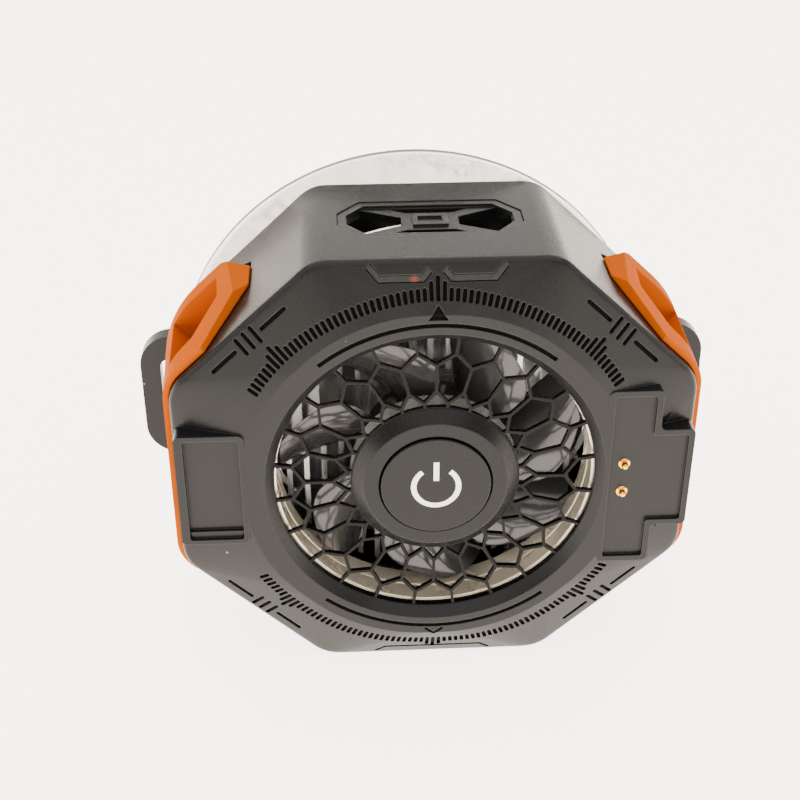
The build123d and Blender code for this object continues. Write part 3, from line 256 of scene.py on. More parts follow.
@dataclass(frozen=True)
class MouldedPlastic(Finish):
    """Injection-moulded plastic with an eroded tool texture.

    The eye sees an even, slightly mottled colour, a fine grain in the gloss, soft edges that catch the light,
    edges painted paler as wear and as a painted highlight, grooves darkened as painted shade, and a few
    specks of dust. The grain of a real tool is about 0.05 mm, too fine to show, so it is drawn coarser.
    """

    colour: str
    edge_wear_and_highlight_colour: str
    roughness: float = 0.5
    gloss: float = 0.5
    grain_mm: float = 0.45
    grain_height_mm: float = 0.009
    edge_mm: float = 0.3
    groove_shade_mm: float = 0.9
    groove_shade_share: float = 0.45
    dust_share: float = 0.0
    dust_pitch_mm: float = 6.5
    mottle_mm: float = 22.0
    mottle_share: float = 0.1
    gloss_spread: float = 0.07
    # The pairs are where the paler edges (wear and painted highlight), the painted shade in grooves and the
    # specks start and stop.
    edge_facing: Point = (0.995, 0.86)
    edge_wear_and_highlight_share: float = 0.55
    groove_light: Point = (0.35, 0.95)
    dust_reach: Point = (0.04, 0.02)
    dust_cover: float = 0.6
    dust_colour: str = "#C9C6C2"

    def paint(self, tree: Tree, shader: Node, place: Socket) -> None:
        """Set up mottle, grain, paler edges of wear and painted highlight, painted shade in grooves, and
        dust.
        """
        mottle = add_node(
            tree, "ShaderNodeTexNoise", {"Vector": place, "Scale": per_mm(self.mottle_mm), "Detail": 5.0}
        )
        grain = add_node(
            tree,
            "ShaderNodeTexNoise",
            {"Vector": place, "Scale": per_mm(self.grain_mm), "Detail": 2.0, "Roughness": 0.6},
        )
        gloss = (self.roughness - self.gloss_spread, self.roughness + self.gloss_spread)
        edge = self.skin(tree, shader, grain.outputs["Fac"], gloss, self.grain_height_mm, self.edge_mm)
        flat = add_node(tree, "ShaderNodeNewGeometry").outputs["True Normal"]
        along = add_node(tree, "ShaderNodeVectorMath", {0: edge, 1: flat}, operation="DOT_PRODUCT")
        # Edges are painted paler: partly wear, partly a painted highlight.
        worn_and_lit_edge = add_node(
            tree,
            "ShaderNodeMapRange",
            {"Value": along.outputs["Value"], **between(self.edge_facing), "To Max": self.edge_wear_and_highlight_share},
        )
        # Ambient occlusion darkens the colour in grooves and crevices: painted shade.
        hollow = add_node(
            tree, "ShaderNodeAmbientOcclusion", {"Distance": self.groove_shade_mm * MM}, samples=NEAR_RAYS
        )
        painted_groove_shade = add_node(
            tree,
            "ShaderNodeMapRange",
            {"Value": hollow.outputs["AO"], **between(self.groove_light), "To Min": self.groove_shade_share},
        )
        colour = add_node(
            tree,
            "ShaderNodeMix",
            {0: mottle.outputs["Fac"], 6: linear(self.colour, 1 - self.mottle_share), 7: linear(self.colour)},
            data_type="RGBA",
        ).outputs[2]
        colour = add_node(
            tree,
            "ShaderNodeMix",
            {0: worn_and_lit_edge.outputs["Result"], 6: colour, 7: linear(self.edge_wear_and_highlight_colour)},
            data_type="RGBA",
        ).outputs[2]
        shaded = add_node(
            tree, "ShaderNodeVectorMath", {0: colour, 1: painted_groove_shade.outputs["Result"]}, operation="MULTIPLY"
        )
        colour = shaded.outputs["Vector"]
        if self.dust_share:
            colour = self.dusted(tree, place, colour)
        tree.links.new(colour, shader.inputs["Base Color"])
        shader.inputs["Specular IOR Level"].default_value = self.gloss

    def dusted(self, tree: Tree, place: Socket, colour: Socket) -> Socket:
        """Scatter pale specks over a colour.

        Args:
            tree: Node tree of the material.
            place: Object coordinates.
            colour: Colour socket below the dust.

        Returns:
            Colour socket with the dust on it.
        """
        cells = add_node(tree, "ShaderNodeTexVoronoi", {"Vector": place, "Scale": per_mm(self.dust_pitch_mm)})
        speck = add_node(
            tree,
            "ShaderNodeMapRange",
            {"Value": cells.outputs["Distance"], **between(self.dust_reach), "To Max": self.dust_cover},
        )
        lot = add_node(tree, "ShaderNodeSeparateColor", {"Color": cells.outputs["Color"]})
        chosen = add_node(
            tree, "ShaderNodeMath", {0: lot.outputs["Red"], 1: self.dust_share}, operation="LESS_THAN"
        )
        amount = add_node(
            tree,
            "ShaderNodeMath",
            {0: speck.outputs["Result"], 1: chosen.outputs["Value"]},
            operation="MULTIPLY",
        )
        return add_node(
            tree,
            "ShaderNodeMix",
            {0: amount.outputs["Value"], 6: colour, 7: linear(self.dust_colour)},
            data_type="RGBA",
        ).outputs[2]


@dataclass(frozen=True)
class DrawnMetal(Finish):
    """Bare metal with fine lines from drawing, rolling or turning.

    The eye sees a bright colour whose reflections are drawn out along the lines. Real lines are a few
    hundredths of a millimetre apart, so they are drawn coarser.
    """

    colour: str
    roughness: float = 0.3
    metallic: float = 1.0
    lay: Lay = Lay.ALONG_Z
    line_mm: float = 3.0
    line_height_mm: float = 0.003
    stain_mm: float = 14.0
    stain_share: float = 0.18
    gloss_spread: float = 0.25
    edge_mm: float = 0.12

    def paint(self, tree: Tree, shader: Node, place: Socket) -> None:
        """Set up the lines, a faint stain and the colour."""
        drawn = add_node(tree, "ShaderNodeMapping", {"Vector": place, "Scale": self.lay.value})
        lines = add_node(
            tree,
            "ShaderNodeTexNoise",
            {"Vector": drawn.outputs["Vector"], "Scale": per_mm(self.line_mm), "Detail": 4.0},
        )
        stain = add_node(
            tree, "ShaderNodeTexNoise", {"Vector": place, "Scale": per_mm(self.stain_mm), "Detail": 4.0}
        )
        colour = add_node(
            tree,
            "ShaderNodeMix",
            {0: stain.outputs["Fac"], 6: linear(self.colour), 7: linear(self.colour, 1 - self.stain_share)},
            data_type="RGBA",
        ).outputs[2]
        tree.links.new(colour, shader.inputs["Base Color"])
        gloss = (self.roughness * (1 - self.gloss_spread), self.roughness * (1 + self.gloss_spread))
        self.skin(tree, shader, lines.outputs["Fac"], gloss, self.line_height_mm, self.edge_mm)
        shader.inputs["Metallic"].default_value = self.metallic


@dataclass(frozen=True)
class GlossyPlastic(Finish):
    """Plastic from a polished tool, some of it metal-plated.

    The eye sees clear reflections over an even colour, with faint flow marks.
    """

    colour: str
    second: str
    roughness: float = 0.12
    metallic: float = 0.0
    flow_mm: float = 9.0
    flow_height_mm: float = 0.02
    coat: float = 0.3
    coat_roughness: float = 0.04
    gloss_spread: float = 0.3
    edge_mm: float = 0.2

    def paint(self, tree: Tree, shader: Node, place: Socket) -> None:
        """Set up flow marks and gloss."""
        flow = add_node(
            tree,
            "ShaderNodeTexNoise",
            {"Vector": place, "Scale": per_mm(self.flow_mm), "Detail": 3.0, "Distortion": 0.6},
        )
        colour = add_node(
            tree,
            "ShaderNodeMix",
            {0: flow.outputs["Fac"], 6: linear(self.colour), 7: linear(self.second)},
            data_type="RGBA",
        ).outputs[2]
        tree.links.new(colour, shader.inputs["Base Color"])
        gloss = (self.roughness * (1 - self.gloss_spread), self.roughness * (1 + self.gloss_spread))
        self.skin(tree, shader, flow.outputs["Fac"], gloss, self.flow_height_mm, self.edge_mm)
        shader.inputs["Metallic"].default_value = self.metallic
        shader.inputs["Coat Weight"].default_value = self.coat
        shader.inputs["Coat Roughness"].default_value = self.coat_roughness


@dataclass(frozen=True)
class OpalAcrylic(Finish):
    """Milky acrylic that scatters light, with a frosted skin.

    The eye sees a soft white body, a satin skin with a fine frost and a little dust. The frost is drawn
    coarser than its real 0.1 mm.
    """

    colour: str
    shadow: str
    roughness: float = 0.38
    scatter_mm: float = 3.0
    cloud_mm: float = 30.0
    frost_mm: float = 0.7
    frost_height_mm: float = 0.012
    transmission: float = 0.0
    gloss_spread: float = 0.08
    edge_mm: float = 0.2
    dust_pitch_mm: float = 5.0
    dust_reach: Point = (0.07, 0.05)
    dust_cover: float = 0.35
    dust_colour: str = "#B9B8B4"
    crease_mm: float = 26.0
    crease_share: float = 0.35
    crease_colour: str = "#C4C1BA"
    scatter: float = 0.6
    scatter_tint: Place = (1.0, 0.95, 0.85)

    def paint(self, tree: Tree, shader: Node, place: Socket) -> None:
        """Set up clouding, frost, dust and scatter."""
        cloud = add_node(
            tree, "ShaderNodeTexNoise", {"Vector": place, "Scale": per_mm(self.cloud_mm), "Detail": 6.0}
        )
        frost = add_node(
            tree, "ShaderNodeTexNoise", {"Vector": place, "Scale": per_mm(self.frost_mm), "Detail": 3.0}
        )
        cells = add_node(tree, "ShaderNodeTexVoronoi", {"Vector": place, "Scale": per_mm(self.dust_pitch_mm)})
        dust = add_node(
            tree,
            "ShaderNodeMapRange",
            {"Value": cells.outputs["Distance"], **between(self.dust_reach), "To Max": self.dust_cover},
        )
        colour = add_node(
            tree,
            "ShaderNodeMix",
            {0: cloud.outputs["Fac"], 6: linear(self.colour), 7: linear(self.shadow)},
            data_type="RGBA",
        ).outputs[2]
        colour = add_node(
            tree,
            "ShaderNodeMix",
            {0: dust.outputs["Result"], 6: colour, 7: linear(self.dust_colour)},
            data_type="RGBA",
        ).outputs[2]
        if self.transmission:
            crease = self.creases(tree, place, self.crease_mm, self.crease_share)
            colour = add_node(
                tree,
                "ShaderNodeMix",
                {0: crease, 6: colour, 7: linear(self.crease_colour)},
                data_type="RGBA",
            ).outputs[2]
        tree.links.new(colour, shader.inputs["Base Color"])
        gloss = (self.roughness - self.gloss_spread, self.roughness + self.gloss_spread)
        self.skin(tree, shader, frost.outputs["Fac"], gloss, self.frost_height_mm, self.edge_mm)
        shader.inputs["Subsurface Weight"].default_value = self.scatter * (1 - self.transmission)
        shader.inputs["Subsurface Radius"].default_value = self.scatter_tint
        shader.inputs["Subsurface Scale"].default_value = self.scatter_mm * MM
        shader.inputs["Transmission Weight"].default_value = self.transmission
        shader.inputs["IOR"].default_value = ACRYLIC_IOR


@dataclass(frozen=True)
class LitAcrylic(Finish):
    """Clear light pipe with a milky core, lit from behind at one spot.

    The eye sees a dark, glossy strip with a warm glow that fades along it.
    """

    colour: str
    glow_colour: str
    glow_place: Place
    glow_reach_mm: float = 1.5
    glow_power: float = 0.6
    cloud_mm: float = 1.2
    cloud_share: float = 0.7
    gloss: float = 0.2
    transmission: float = 0.25

    def paint(self, tree: Tree, shader: Node, place: Socket) -> None:
        """Set up the strip and its glow."""
        cloud = add_node(
            tree, "ShaderNodeTexNoise", {"Vector": place, "Scale": per_mm(self.cloud_mm), "Detail": 3.0}
        )
        colour = add_node(
            tree,
            "ShaderNodeMix",
            {0: cloud.outputs["Fac"], 6: linear(self.colour), 7: linear(self.colour, self.cloud_share)},
            data_type="RGBA",
        ).outputs[2]
        tree.links.new(colour, shader.inputs["Base Color"])
        spot = tuple(part * MM for part in self.glow_place)
        away = add_node(tree, "ShaderNodeVectorMath", {0: place, 1: spot}, operation="DISTANCE")
        fade = add_node(
            tree,
            "ShaderNodeMapRange",
            {
                "Value": away.outputs["Value"],
                **between((self.glow_reach_mm * MM, 0.0)),
                "To Max": self.glow_power,
            },
            interpolation_type="SMOOTHSTEP",
        )
        tree.links.new(fade.outputs["Result"], shader.inputs["Emission Strength"])
        self.skin(tree, shader, cloud.outputs["Fac"], gloss=(0.12, 0.2), height_mm=0.004, edge_mm=0.12)
        shader.inputs["Emission Color"].default_value = linear(self.glow_colour)
        shader.inputs["Specular IOR Level"].default_value = self.gloss
        shader.inputs["Transmission Weight"].default_value = self.transmission
        shader.inputs["IOR"].default_value = ACRYLIC_IOR


@dataclass(frozen=True)
class ClearFilm(Finish):
    """Thin cast film, clear or dyed, laid on by hand.

    The eye sees through it, apart from its gloss, faint waves, hairline scratches and a few trapped bubbles.
    """

    colour: str
    transmission: float = 1.0
    wave_mm: float = 8.0
    bubble_pitch_mm: float = 11.0
    bubble_reach: float = 0.12
    bubble_height_mm: float = 0.15
    scratch_mm: float = 1.5
    crease_mm: float = 16.0
    crease_share: float = 0.7
    crease_shade: float = 0.55

    def paint(self, tree: Tree, shader: Node, place: Socket) -> None:
        """Set up waves, bubbles and scratches."""
        wave = add_node(
            tree, "ShaderNodeTexNoise", {"Vector": place, "Scale": per_mm(self.wave_mm), "Detail": 2.0}
        )
        scratch = add_node(
            tree,
            "ShaderNodeTexNoise",
            {"Vector": place, "Scale": per_mm(self.scratch_mm), "Detail": 6.0, "Distortion": 2.5},
        )
        cells = add_node(
            tree, "ShaderNodeTexVoronoi", {"Vector": place, "Scale": per_mm(self.bubble_pitch_mm)}
        )
        bubble = add_node(
            tree,
            "ShaderNodeMapRange",
            {"Value": cells.outputs["Distance"], "From Min": self.bubble_reach, "From Max": 0.0},
            interpolation_type="SMOOTHSTEP",
        )
        relief = add_node(
            tree, "ShaderNodeMath", {0: wave.outputs["Fac"], 1: bubble.outputs["Result"]}, operation="ADD"
        )
        self.skin(
            tree,
            shader,
            scratch.outputs["Fac"],
            gloss=(0.04, 0.2),
            height_mm=self.bubble_height_mm,
            edge_mm=0.05,
            relief=relief.outputs["Value"],
        )
        crease = self.creases(tree, place, self.crease_mm, self.crease_share)
        colour = add_node(
            tree,
            "ShaderNodeMix",
            {0: crease, 6: linear(self.colour), 7: linear(self.colour, self.crease_shade)},
            data_type="RGBA",
        ).outputs[2]
        tree.links.new(colour, shader.inputs["Base Color"])
        shader.inputs["Transmission Weight"].default_value = self.transmission
        shader.inputs["IOR"].default_value = FILM_IOR


@dataclass(frozen=True)
class CircuitBoard(Finish):
    """Glass-fibre board under solder mask.

    The eye sees a glossy mask with slightly raised tracks below it.
    """

    colour: str
    track_colour: str
    track_mm: float = 2.2
    track_reach: Point = (0.12, 0.08)

    def paint(self, tree: Tree, shader: Node, place: Socket) -> None:
        """Set up tracks under the mask."""
        cells = add_node(
            tree,
            "ShaderNodeTexVoronoi",
            {"Vector": place, "Scale": per_mm(self.track_mm), "Randomness": 0.4},
            feature="DISTANCE_TO_EDGE",
        )
        track = add_node(
            tree, "ShaderNodeMapRange", {"Value": cells.outputs["Distance"], **between(self.track_reach)}
        )
        colour = add_node(
            tree,
            "ShaderNodeMix",
            {0: track.outputs["Result"], 6: linear(self.colour), 7: linear(self.track_colour)},
            data_type="RGBA",
        ).outputs[2]
        tree.links.new(colour, shader.inputs["Base Color"])
        self.skin(tree, shader, track.outputs["Result"], gloss=(0.26, 0.36), height_mm=0.03, edge_mm=0.1)


@dataclass(frozen=True)
class WoundWire(Finish):
    """Lacquered copper wire in close turns.

    The eye sees fine, even ridges with a warm gloss; the valleys between the turns are darkened as painted
    shade.
    """

    colour: str
    turn_mm: float = 0.4
    valley_shade_share: float = 0.5

    def paint(self, tree: Tree, shader: Node, place: Socket) -> None:
        """Set up the turns."""
        turns = add_node(
            tree,
            "ShaderNodeTexWave",
            {"Vector": place, "Scale": per_mm(self.turn_mm) / math.tau, "Distortion": 0.4},
            wave_type="RINGS",
            rings_direction="Y",
        )
        # Darker in the valleys between turns: painted shade.
        colour = add_node(
            tree,
            "ShaderNodeMix",
            {0: turns.outputs["Fac"], 6: linear(self.colour, self.valley_shade_share), 7: linear(self.colour)},
            data_type="RGBA",
        ).outputs[2]
        tree.links.new(colour, shader.inputs["Base Color"])
        self.skin(tree, shader, turns.outputs["Fac"], gloss=(0.24, 0.32), height_mm=0.1, edge_mm=0.1)
        shader.inputs["Metallic"].default_value = 1.0


# Shell and hub look satin and nearly black, with edges painted paler as wear and painted highlight; the
# floors of the engraved marks are painted a dull near-black as shade.
HOUSING_GREY = MouldedPlastic(
    "moulded_abs_dark_grey",
    "#121314",
    "#3B3B3A",
    roughness=0.33,
    gloss=0.19,
    groove_shade_share=0.3,
    dust_share=0.22,
)
# Painted shade: a dull near-black for the floors of the engraved marks.
GROOVE_SHADE_BLACK = MouldedPlastic("painted_groove_shade_black", "#0A0A09", "#1A1918", roughness=0.6, gloss=0.03)
HUB_BLACK = MouldedPlastic(
    "moulded_abs_satin_black",
    "#0F1011",
    "#343434",
    roughness=0.3,
    gloss=0.17,
    grain_height_mm=0.004,
    dust_share=0.1,
)
# The grille's ribs get edges painted paler as wear and painted highlight, and grooves darkened as painted
# shade.
GRILLE_BLACK = MouldedPlastic(
    "moulded_nylon_black", "#070707", "#4A4744", roughness=0.25, gloss=0.1, edge_mm=0.12, groove_shade_share=0.7
)
# Orange looks matt: even a little shine turns it pale under the large soft boxes.
# Its edges are painted paler as wear and painted highlight, and its grooves a little darker as painted shade.
GRIP_ORANGE = MouldedPlastic(
    "moulded_abs_orange",
    "#B25000",
    "#C2600C",
    roughness=0.45,
    gloss=0.002,
    edge_mm=0.4,
    groove_shade_share=0.75,
    mottle_mm=12.0,
    mottle_share=0.16,
    grain_height_mm=0.016,
)
SWITCH_BLACK = MouldedPlastic("moulded_nylon_switch", "#1C1C1D", "#3E3E40")
GASKET_FOAM = MouldedPlastic("die_cut_foam_rubber", "#222222", "#333333", roughness=0.85, grain_mm=0.6)
# Blades and shroud mirror the guard and the fins; the shroud is plated, so it is far brighter.
ROTOR_SMOKE = GlossyPlastic(
    "polished_abs_gunmetal",
    "#383839",
    "#2C2C2E",
    roughness=0.16,
    metallic=0.15,
    flow_height_mm=0.005,
    coat=0.1,
)
SHROUD_CHROME = GlossyPlastic(
    "plated_abs_champagne",
    "#EDE4D0",
    "#E2D7BF",
    roughness=0.26,
    metallic=0.55,
    flow_mm=14.0,
    flow_height_mm=0.004,
)
# Bare metals look bright, with reflections drawn out along their lines.
FIN_ALUMINIUM = DrawnMetal(
    "extruded_aluminium", "#CFD1D3", roughness=0.34, metallic=0.8, line_height_mm=0.0006, stain_share=0.06
)
MOTOR_ALUMINIUM = DrawnMetal("turned_aluminium", "#C2C4C6", roughness=0.32, lay=Lay.ALONG_X)
CONTACT_GOLD = DrawnMetal("gold_plated_brass", "#F0B84A", roughness=0.16, line_mm=1.5, line_height_mm=0.003)
BRIGHT_STEEL = DrawnMetal("ground_steel", "#B9BABC", roughness=0.25, lay=Lay.ALONG_Y)
ZINC_STEEL = DrawnMetal("zinc_plated_steel", "#A3A5A8", roughness=0.34, lay=Lay.ALONG_Y)
FERRITE = DrawnMetal("sintered_ferrite", "#3B3B3E", roughness=0.55, lay=Lay.ALONG_Y)
COPPER_WIRE = WoundWire("lacquered_copper_wire", "#C9703A")
# The disc lets the floor show through it milkily, and its rim is painted grey as shade.
DISC_OPAL = OpalAcrylic("cast_opal_acrylic", "#FFFEFB", "#F6F5F0", transmission=0.8)
DISC_RIM_SHADE = OpalAcrylic("painted_shade_acrylic_rim", "#7C7C7A", "#666664", roughness=0.55)
PHOSPHOR = OpalAcrylic("cast_phosphor_gel", "#EBC45A", "#D9A93A", roughness=0.5, cloud_mm=2.0)
FILM_CLEAR = ClearFilm("cast_clear_film", "#F4F5F5")
TAB_BLUE = ClearFilm("dyed_blue_film", "#5C8FDC", transmission=0.45)
BOARD_GREEN = CircuitBoard("solder_mask_green", "#14532F", "#1E6A3C")
BOARD_WHITE = CircuitBoard("solder_mask_white", "#EDEDE8", "#DADAD4", track_mm=6.0)
BATTERY_WRAP = GlossyPlastic("shrink_wrap_blue", "#23407F", "#1B3266", roughness=0.3, flow_height_mm=0.05)
PIPE_LIT = LitAcrylic("moulded_acrylic_lit", "#242423", "#FF6A00", (-4.6, -21.0, 95.6))
PIPE_DARK = LitAcrylic("moulded_acrylic_unlit", "#242423", "#FFFFFF", (0.0, 0.0, 0.0), glow_power=0.0)
SILVER_INK = DrawnMetal("pad_printed_silver", "#D9D6D3", roughness=0.4, line_mm=1.0, line_height_mm=0.002)


# Mesh work


def deselect() -> None:
    """Deselect every object."""
    if bpy.context.object is not None and bpy.context.object.mode != "OBJECT":
        bpy.ops.object.mode_set(mode="OBJECT")
    bpy.ops.object.select_all(action="DESELECT")


def activate(obj: Piece) -> None:
    """Make one object the only one selected, and the active one.

    Args:
        obj: That object.
    """
    deselect()
    obj.select_set(True)
    bpy.context.view_layer.objects.active = obj


def smooth(obj: Piece, angle: float = EDGE_ANGLE) -> None:
    """Shade an object smoothly, apart from its sharp edges, with flat faces kept flat.

    Args:
        obj: Object to shade.
        angle: Edges that are sharper than this stay sharp.
    """
    activate(obj)
    bpy.ops.object.shade_smooth_by_angle(angle=angle)
    modifier = obj.modifiers.new("flat_faces", "WEIGHTED_NORMAL")
    modifier.keep_sharp = True
    bpy.ops.object.modifier_apply(modifier=modifier.name)


def soften(obj: Piece, width: float, segments: int = 3) -> None:
    """Round an object's sharp edges with an applied bevel.

    Args:
        obj: Object to change.
        width: Width of the bevel in mm.
        segments: Number of steps in the rounding.
    """
    activate(obj)
    modifier = obj.modifiers.new("soft_edges", "BEVEL")
    modifier.width = width * MM
    modifier.segments = segments
    modifier.limit_method = "ANGLE"
    modifier.angle_limit = EDGE_ANGLE
    bpy.ops.object.modifier_apply(modifier=modifier.name)


def turned(
    name: str,
    profile: Sequence[Point],
    steps: int,
    centre: Point = (0.0, AXIS_Z),
    arc: float = math.tau,
    start: float = 0.0,
) -> Piece:
    """Spin a profile about an axis that runs front to back.

    Args:
        name: Name of the piece.
        profile: Corners as (radius, depth) in mm, closed by its first corner unless it ends on the axis.
        steps: Number of faces round the axis.
        centre: Place of the axis as (x, z) in mm.
        arc: Angle of the spin.
        start: Angle of the first profile from +X towards +Z.

    Returns:
        The new object, at the origin.
    """
    deselect()
    bpy.ops.mesh.primitive_plane_add(size=MM)
    obj = bpy.context.object
    obj.name = name
    middle = Vector((centre[0], 0.0, centre[1])) * MM
    outward = Vector((math.cos(start), 0.0, math.sin(start)))
    inward = Vector((0.0, 1.0, 0.0))
    points = [middle + (outward * radius + inward * (SEAM + depth)) * MM for radius, depth in profile]
    bpy.ops.object.mode_set(mode="EDIT")
    bpy.ops.mesh.select_all(action="SELECT")
    bpy.ops.mesh.merge(type="CENTER")
    bpy.ops.transform.translate(value=points[0])
    for before, after in zip(points, points[1:]):
        bpy.ops.mesh.extrude_region_move(TRANSFORM_OT_translate={"value": after - before})
    if profile[0][0] > 0 or profile[-1][0] > 0:
        bpy.ops.mesh.extrude_region_move(TRANSFORM_OT_translate={"value": points[0] - points[-1]})
    bpy.ops.mesh.select_all(action="SELECT")
    bpy.ops.mesh.remove_doubles(threshold=MERGE_DISTANCE)
    if arc < math.tau:
        bpy.ops.mesh.edge_face_add()
    bpy.ops.mesh.spin(steps=steps, angle=arc, center=middle, axis=inward)
    bpy.ops.mesh.select_all(action="SELECT")
    bpy.ops.mesh.remove_doubles(threshold=MERGE_DISTANCE)
    bpy.ops.mesh.normals_make_consistent(inside=False)
    bpy.ops.object.mode_set(mode="OBJECT")
    return obj


def merged_copy(node: str, name: str) -> Piece:
    """Copy a CAD node's mesh and merge its triangles, so that it can shade smoothly.

    Args:
        node: Name of the CAD node.
        name: Name of the piece.

    Returns:
        The new object, at the origin.
    """
    obj = bpy.data.objects.new(name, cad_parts[node].data.copy())
    bpy.context.scene.collection.objects.link(obj)
    activate(obj)
    bpy.ops.mesh.customdata_custom_splitnormals_clear()
    bpy.ops.object.mode_set(mode="EDIT")
    bpy.ops.mesh.select_all(action="SELECT")
    bpy.ops.mesh.remove_doubles(threshold=MERGE_DISTANCE)
    bpy.ops.object.mode_set(mode="OBJECT")
    return obj


def joined(name: str, pieces: Iterable[Piece]) -> Piece:
    """Join several objects into one.

    Args:
        name: Name of the piece.
        pieces: Objects to join.

    Returns:
        The joined object.
    """
    pieces = list(pieces)
    deselect()
    for piece in pieces:
        piece.select_set(True)
    bpy.context.view_layer.objects.active = pieces[0]
    bpy.ops.object.join()
    pieces[0].name = name
    return pieces[0]


def paint(obj: Piece, finish: Finish) -> None:
    """Give an object one finish all over."""
    obj.data.materials.clear()
    obj.data.materials.append(finish.material())


class SubAssembly(ABC):
    """A group of pieces that are built and dressed together, with sizes in mm and depths from the seam."""

    body: Body = Body.HOUSING

    @abstractmethod
    def build(self) -> None:
        """Make and dress all pieces of the group."""

    def place(self, obj: Piece, finish: Finish, slot: str, *nodes: str, body: Body | None = None) -> None:
        """Dress a piece, let it ride, and let it stand for CAD nodes.

        Args:
            obj: The finished piece.
            finish: Its finish.
            slot: Material slot of the record; not used.
            nodes: CAD nodes that it stands for.
            body: Body that it rides on, if not the group's own.
        """
        paint(obj, finish)
        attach(obj, (body or self.body).value)
        if nodes:
            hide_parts(*nodes)
        LOG.info("%s: %d faces, %s", obj.name, len(obj.data.polygons), finish.name)

    def refine(self, node: str, finish: Finish, slot: str, body: Body | None = None) -> Piece:
        """Show a CAD node as a smooth copy.

        Args:
            node: Name of the CAD node.
            finish: Finish of the copy.
            slot: Material slot of the record; passed to place, which does not use it.
            body: Body that it rides on, if not the group's own.

        Returns:
            The copy.
        """
        obj = merged_copy(node, f"{node}_skin")
        smooth(obj, FACET_ANGLE)
        self.place(obj, finish, slot, node, body=body)
        return obj

    def keep(self, finish: Finish, *nodes: str) -> None:
        """Show CAD nodes as they are, with a finish.

        Args:
            finish: Their finish.
            nodes: Names of the CAD nodes.
        """
        for node in nodes:
            paint(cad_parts[node], finish)
            LOG.info("%s: kept, %s", node, finish.name)


@dataclass
class Housing(SubAssembly):
    """Front cover, housing tube, rear cover and vent."""

    groove_reach: float = 3.0
    groove_lift: float = 0.1
    look_steps: int = 4
    front_share: float = 0.3

    def build(self) -> None:
        """Make and dress the shell."""
        self.shade_groove_floors(self.refine("front_cover", HOUSING_GREY, "housing_plastic"))
        for node in ("main_housing", "rear_cover", "top_vent"):
            self.refine(node, HOUSING_GREY, "housing_plastic")

    def shade_groove_floors(self, cover: Piece) -> None:
        """Paint the floors of the engraved marks a dull near-black, as painted shade.

        A face lies on such a floor if walls stand close to it on two opposite sides.

        Args:
            cover: Copy of the front cover.
        """
        mesh = cover.data
        # The second material is painted shade on the groove floors.
        mesh.materials.append(GROOVE_SHADE_BLACK.material())
        corners = [corner.co for corner in mesh.vertices]
        walls = BVHTree.FromPolygons(corners, [tuple(face.vertices) for face in mesh.polygons])
        turns = [math.pi * step / self.look_steps for step in range(self.look_steps)]
        reach = self.groove_reach * MM
        for face in mesh.polygons:
            if -face.normal.y < self.front_share:
                continue
            start = face.center + face.normal * (self.groove_lift * MM)
            across = face.normal.orthogonal().normalized()
            beside = face.normal.cross(across)
            for turn in turns:
                look = across * math.cos(turn) + beside * math.sin(turn)
                if walls.ray_cast(start, look, reach)[0] and walls.ray_cast(start, -look, reach)[0]:
                    face.material_index = 1
                    break


@dataclass
class Grips(SubAssembly):
    """Orange side grips."""

    def build(self) -> None:
        """Make and dress both grips."""
        for node in ("side_grip_left", "side_grip_right"):
            self.refine(node, GRIP_ORANGE, "grip_plastic")


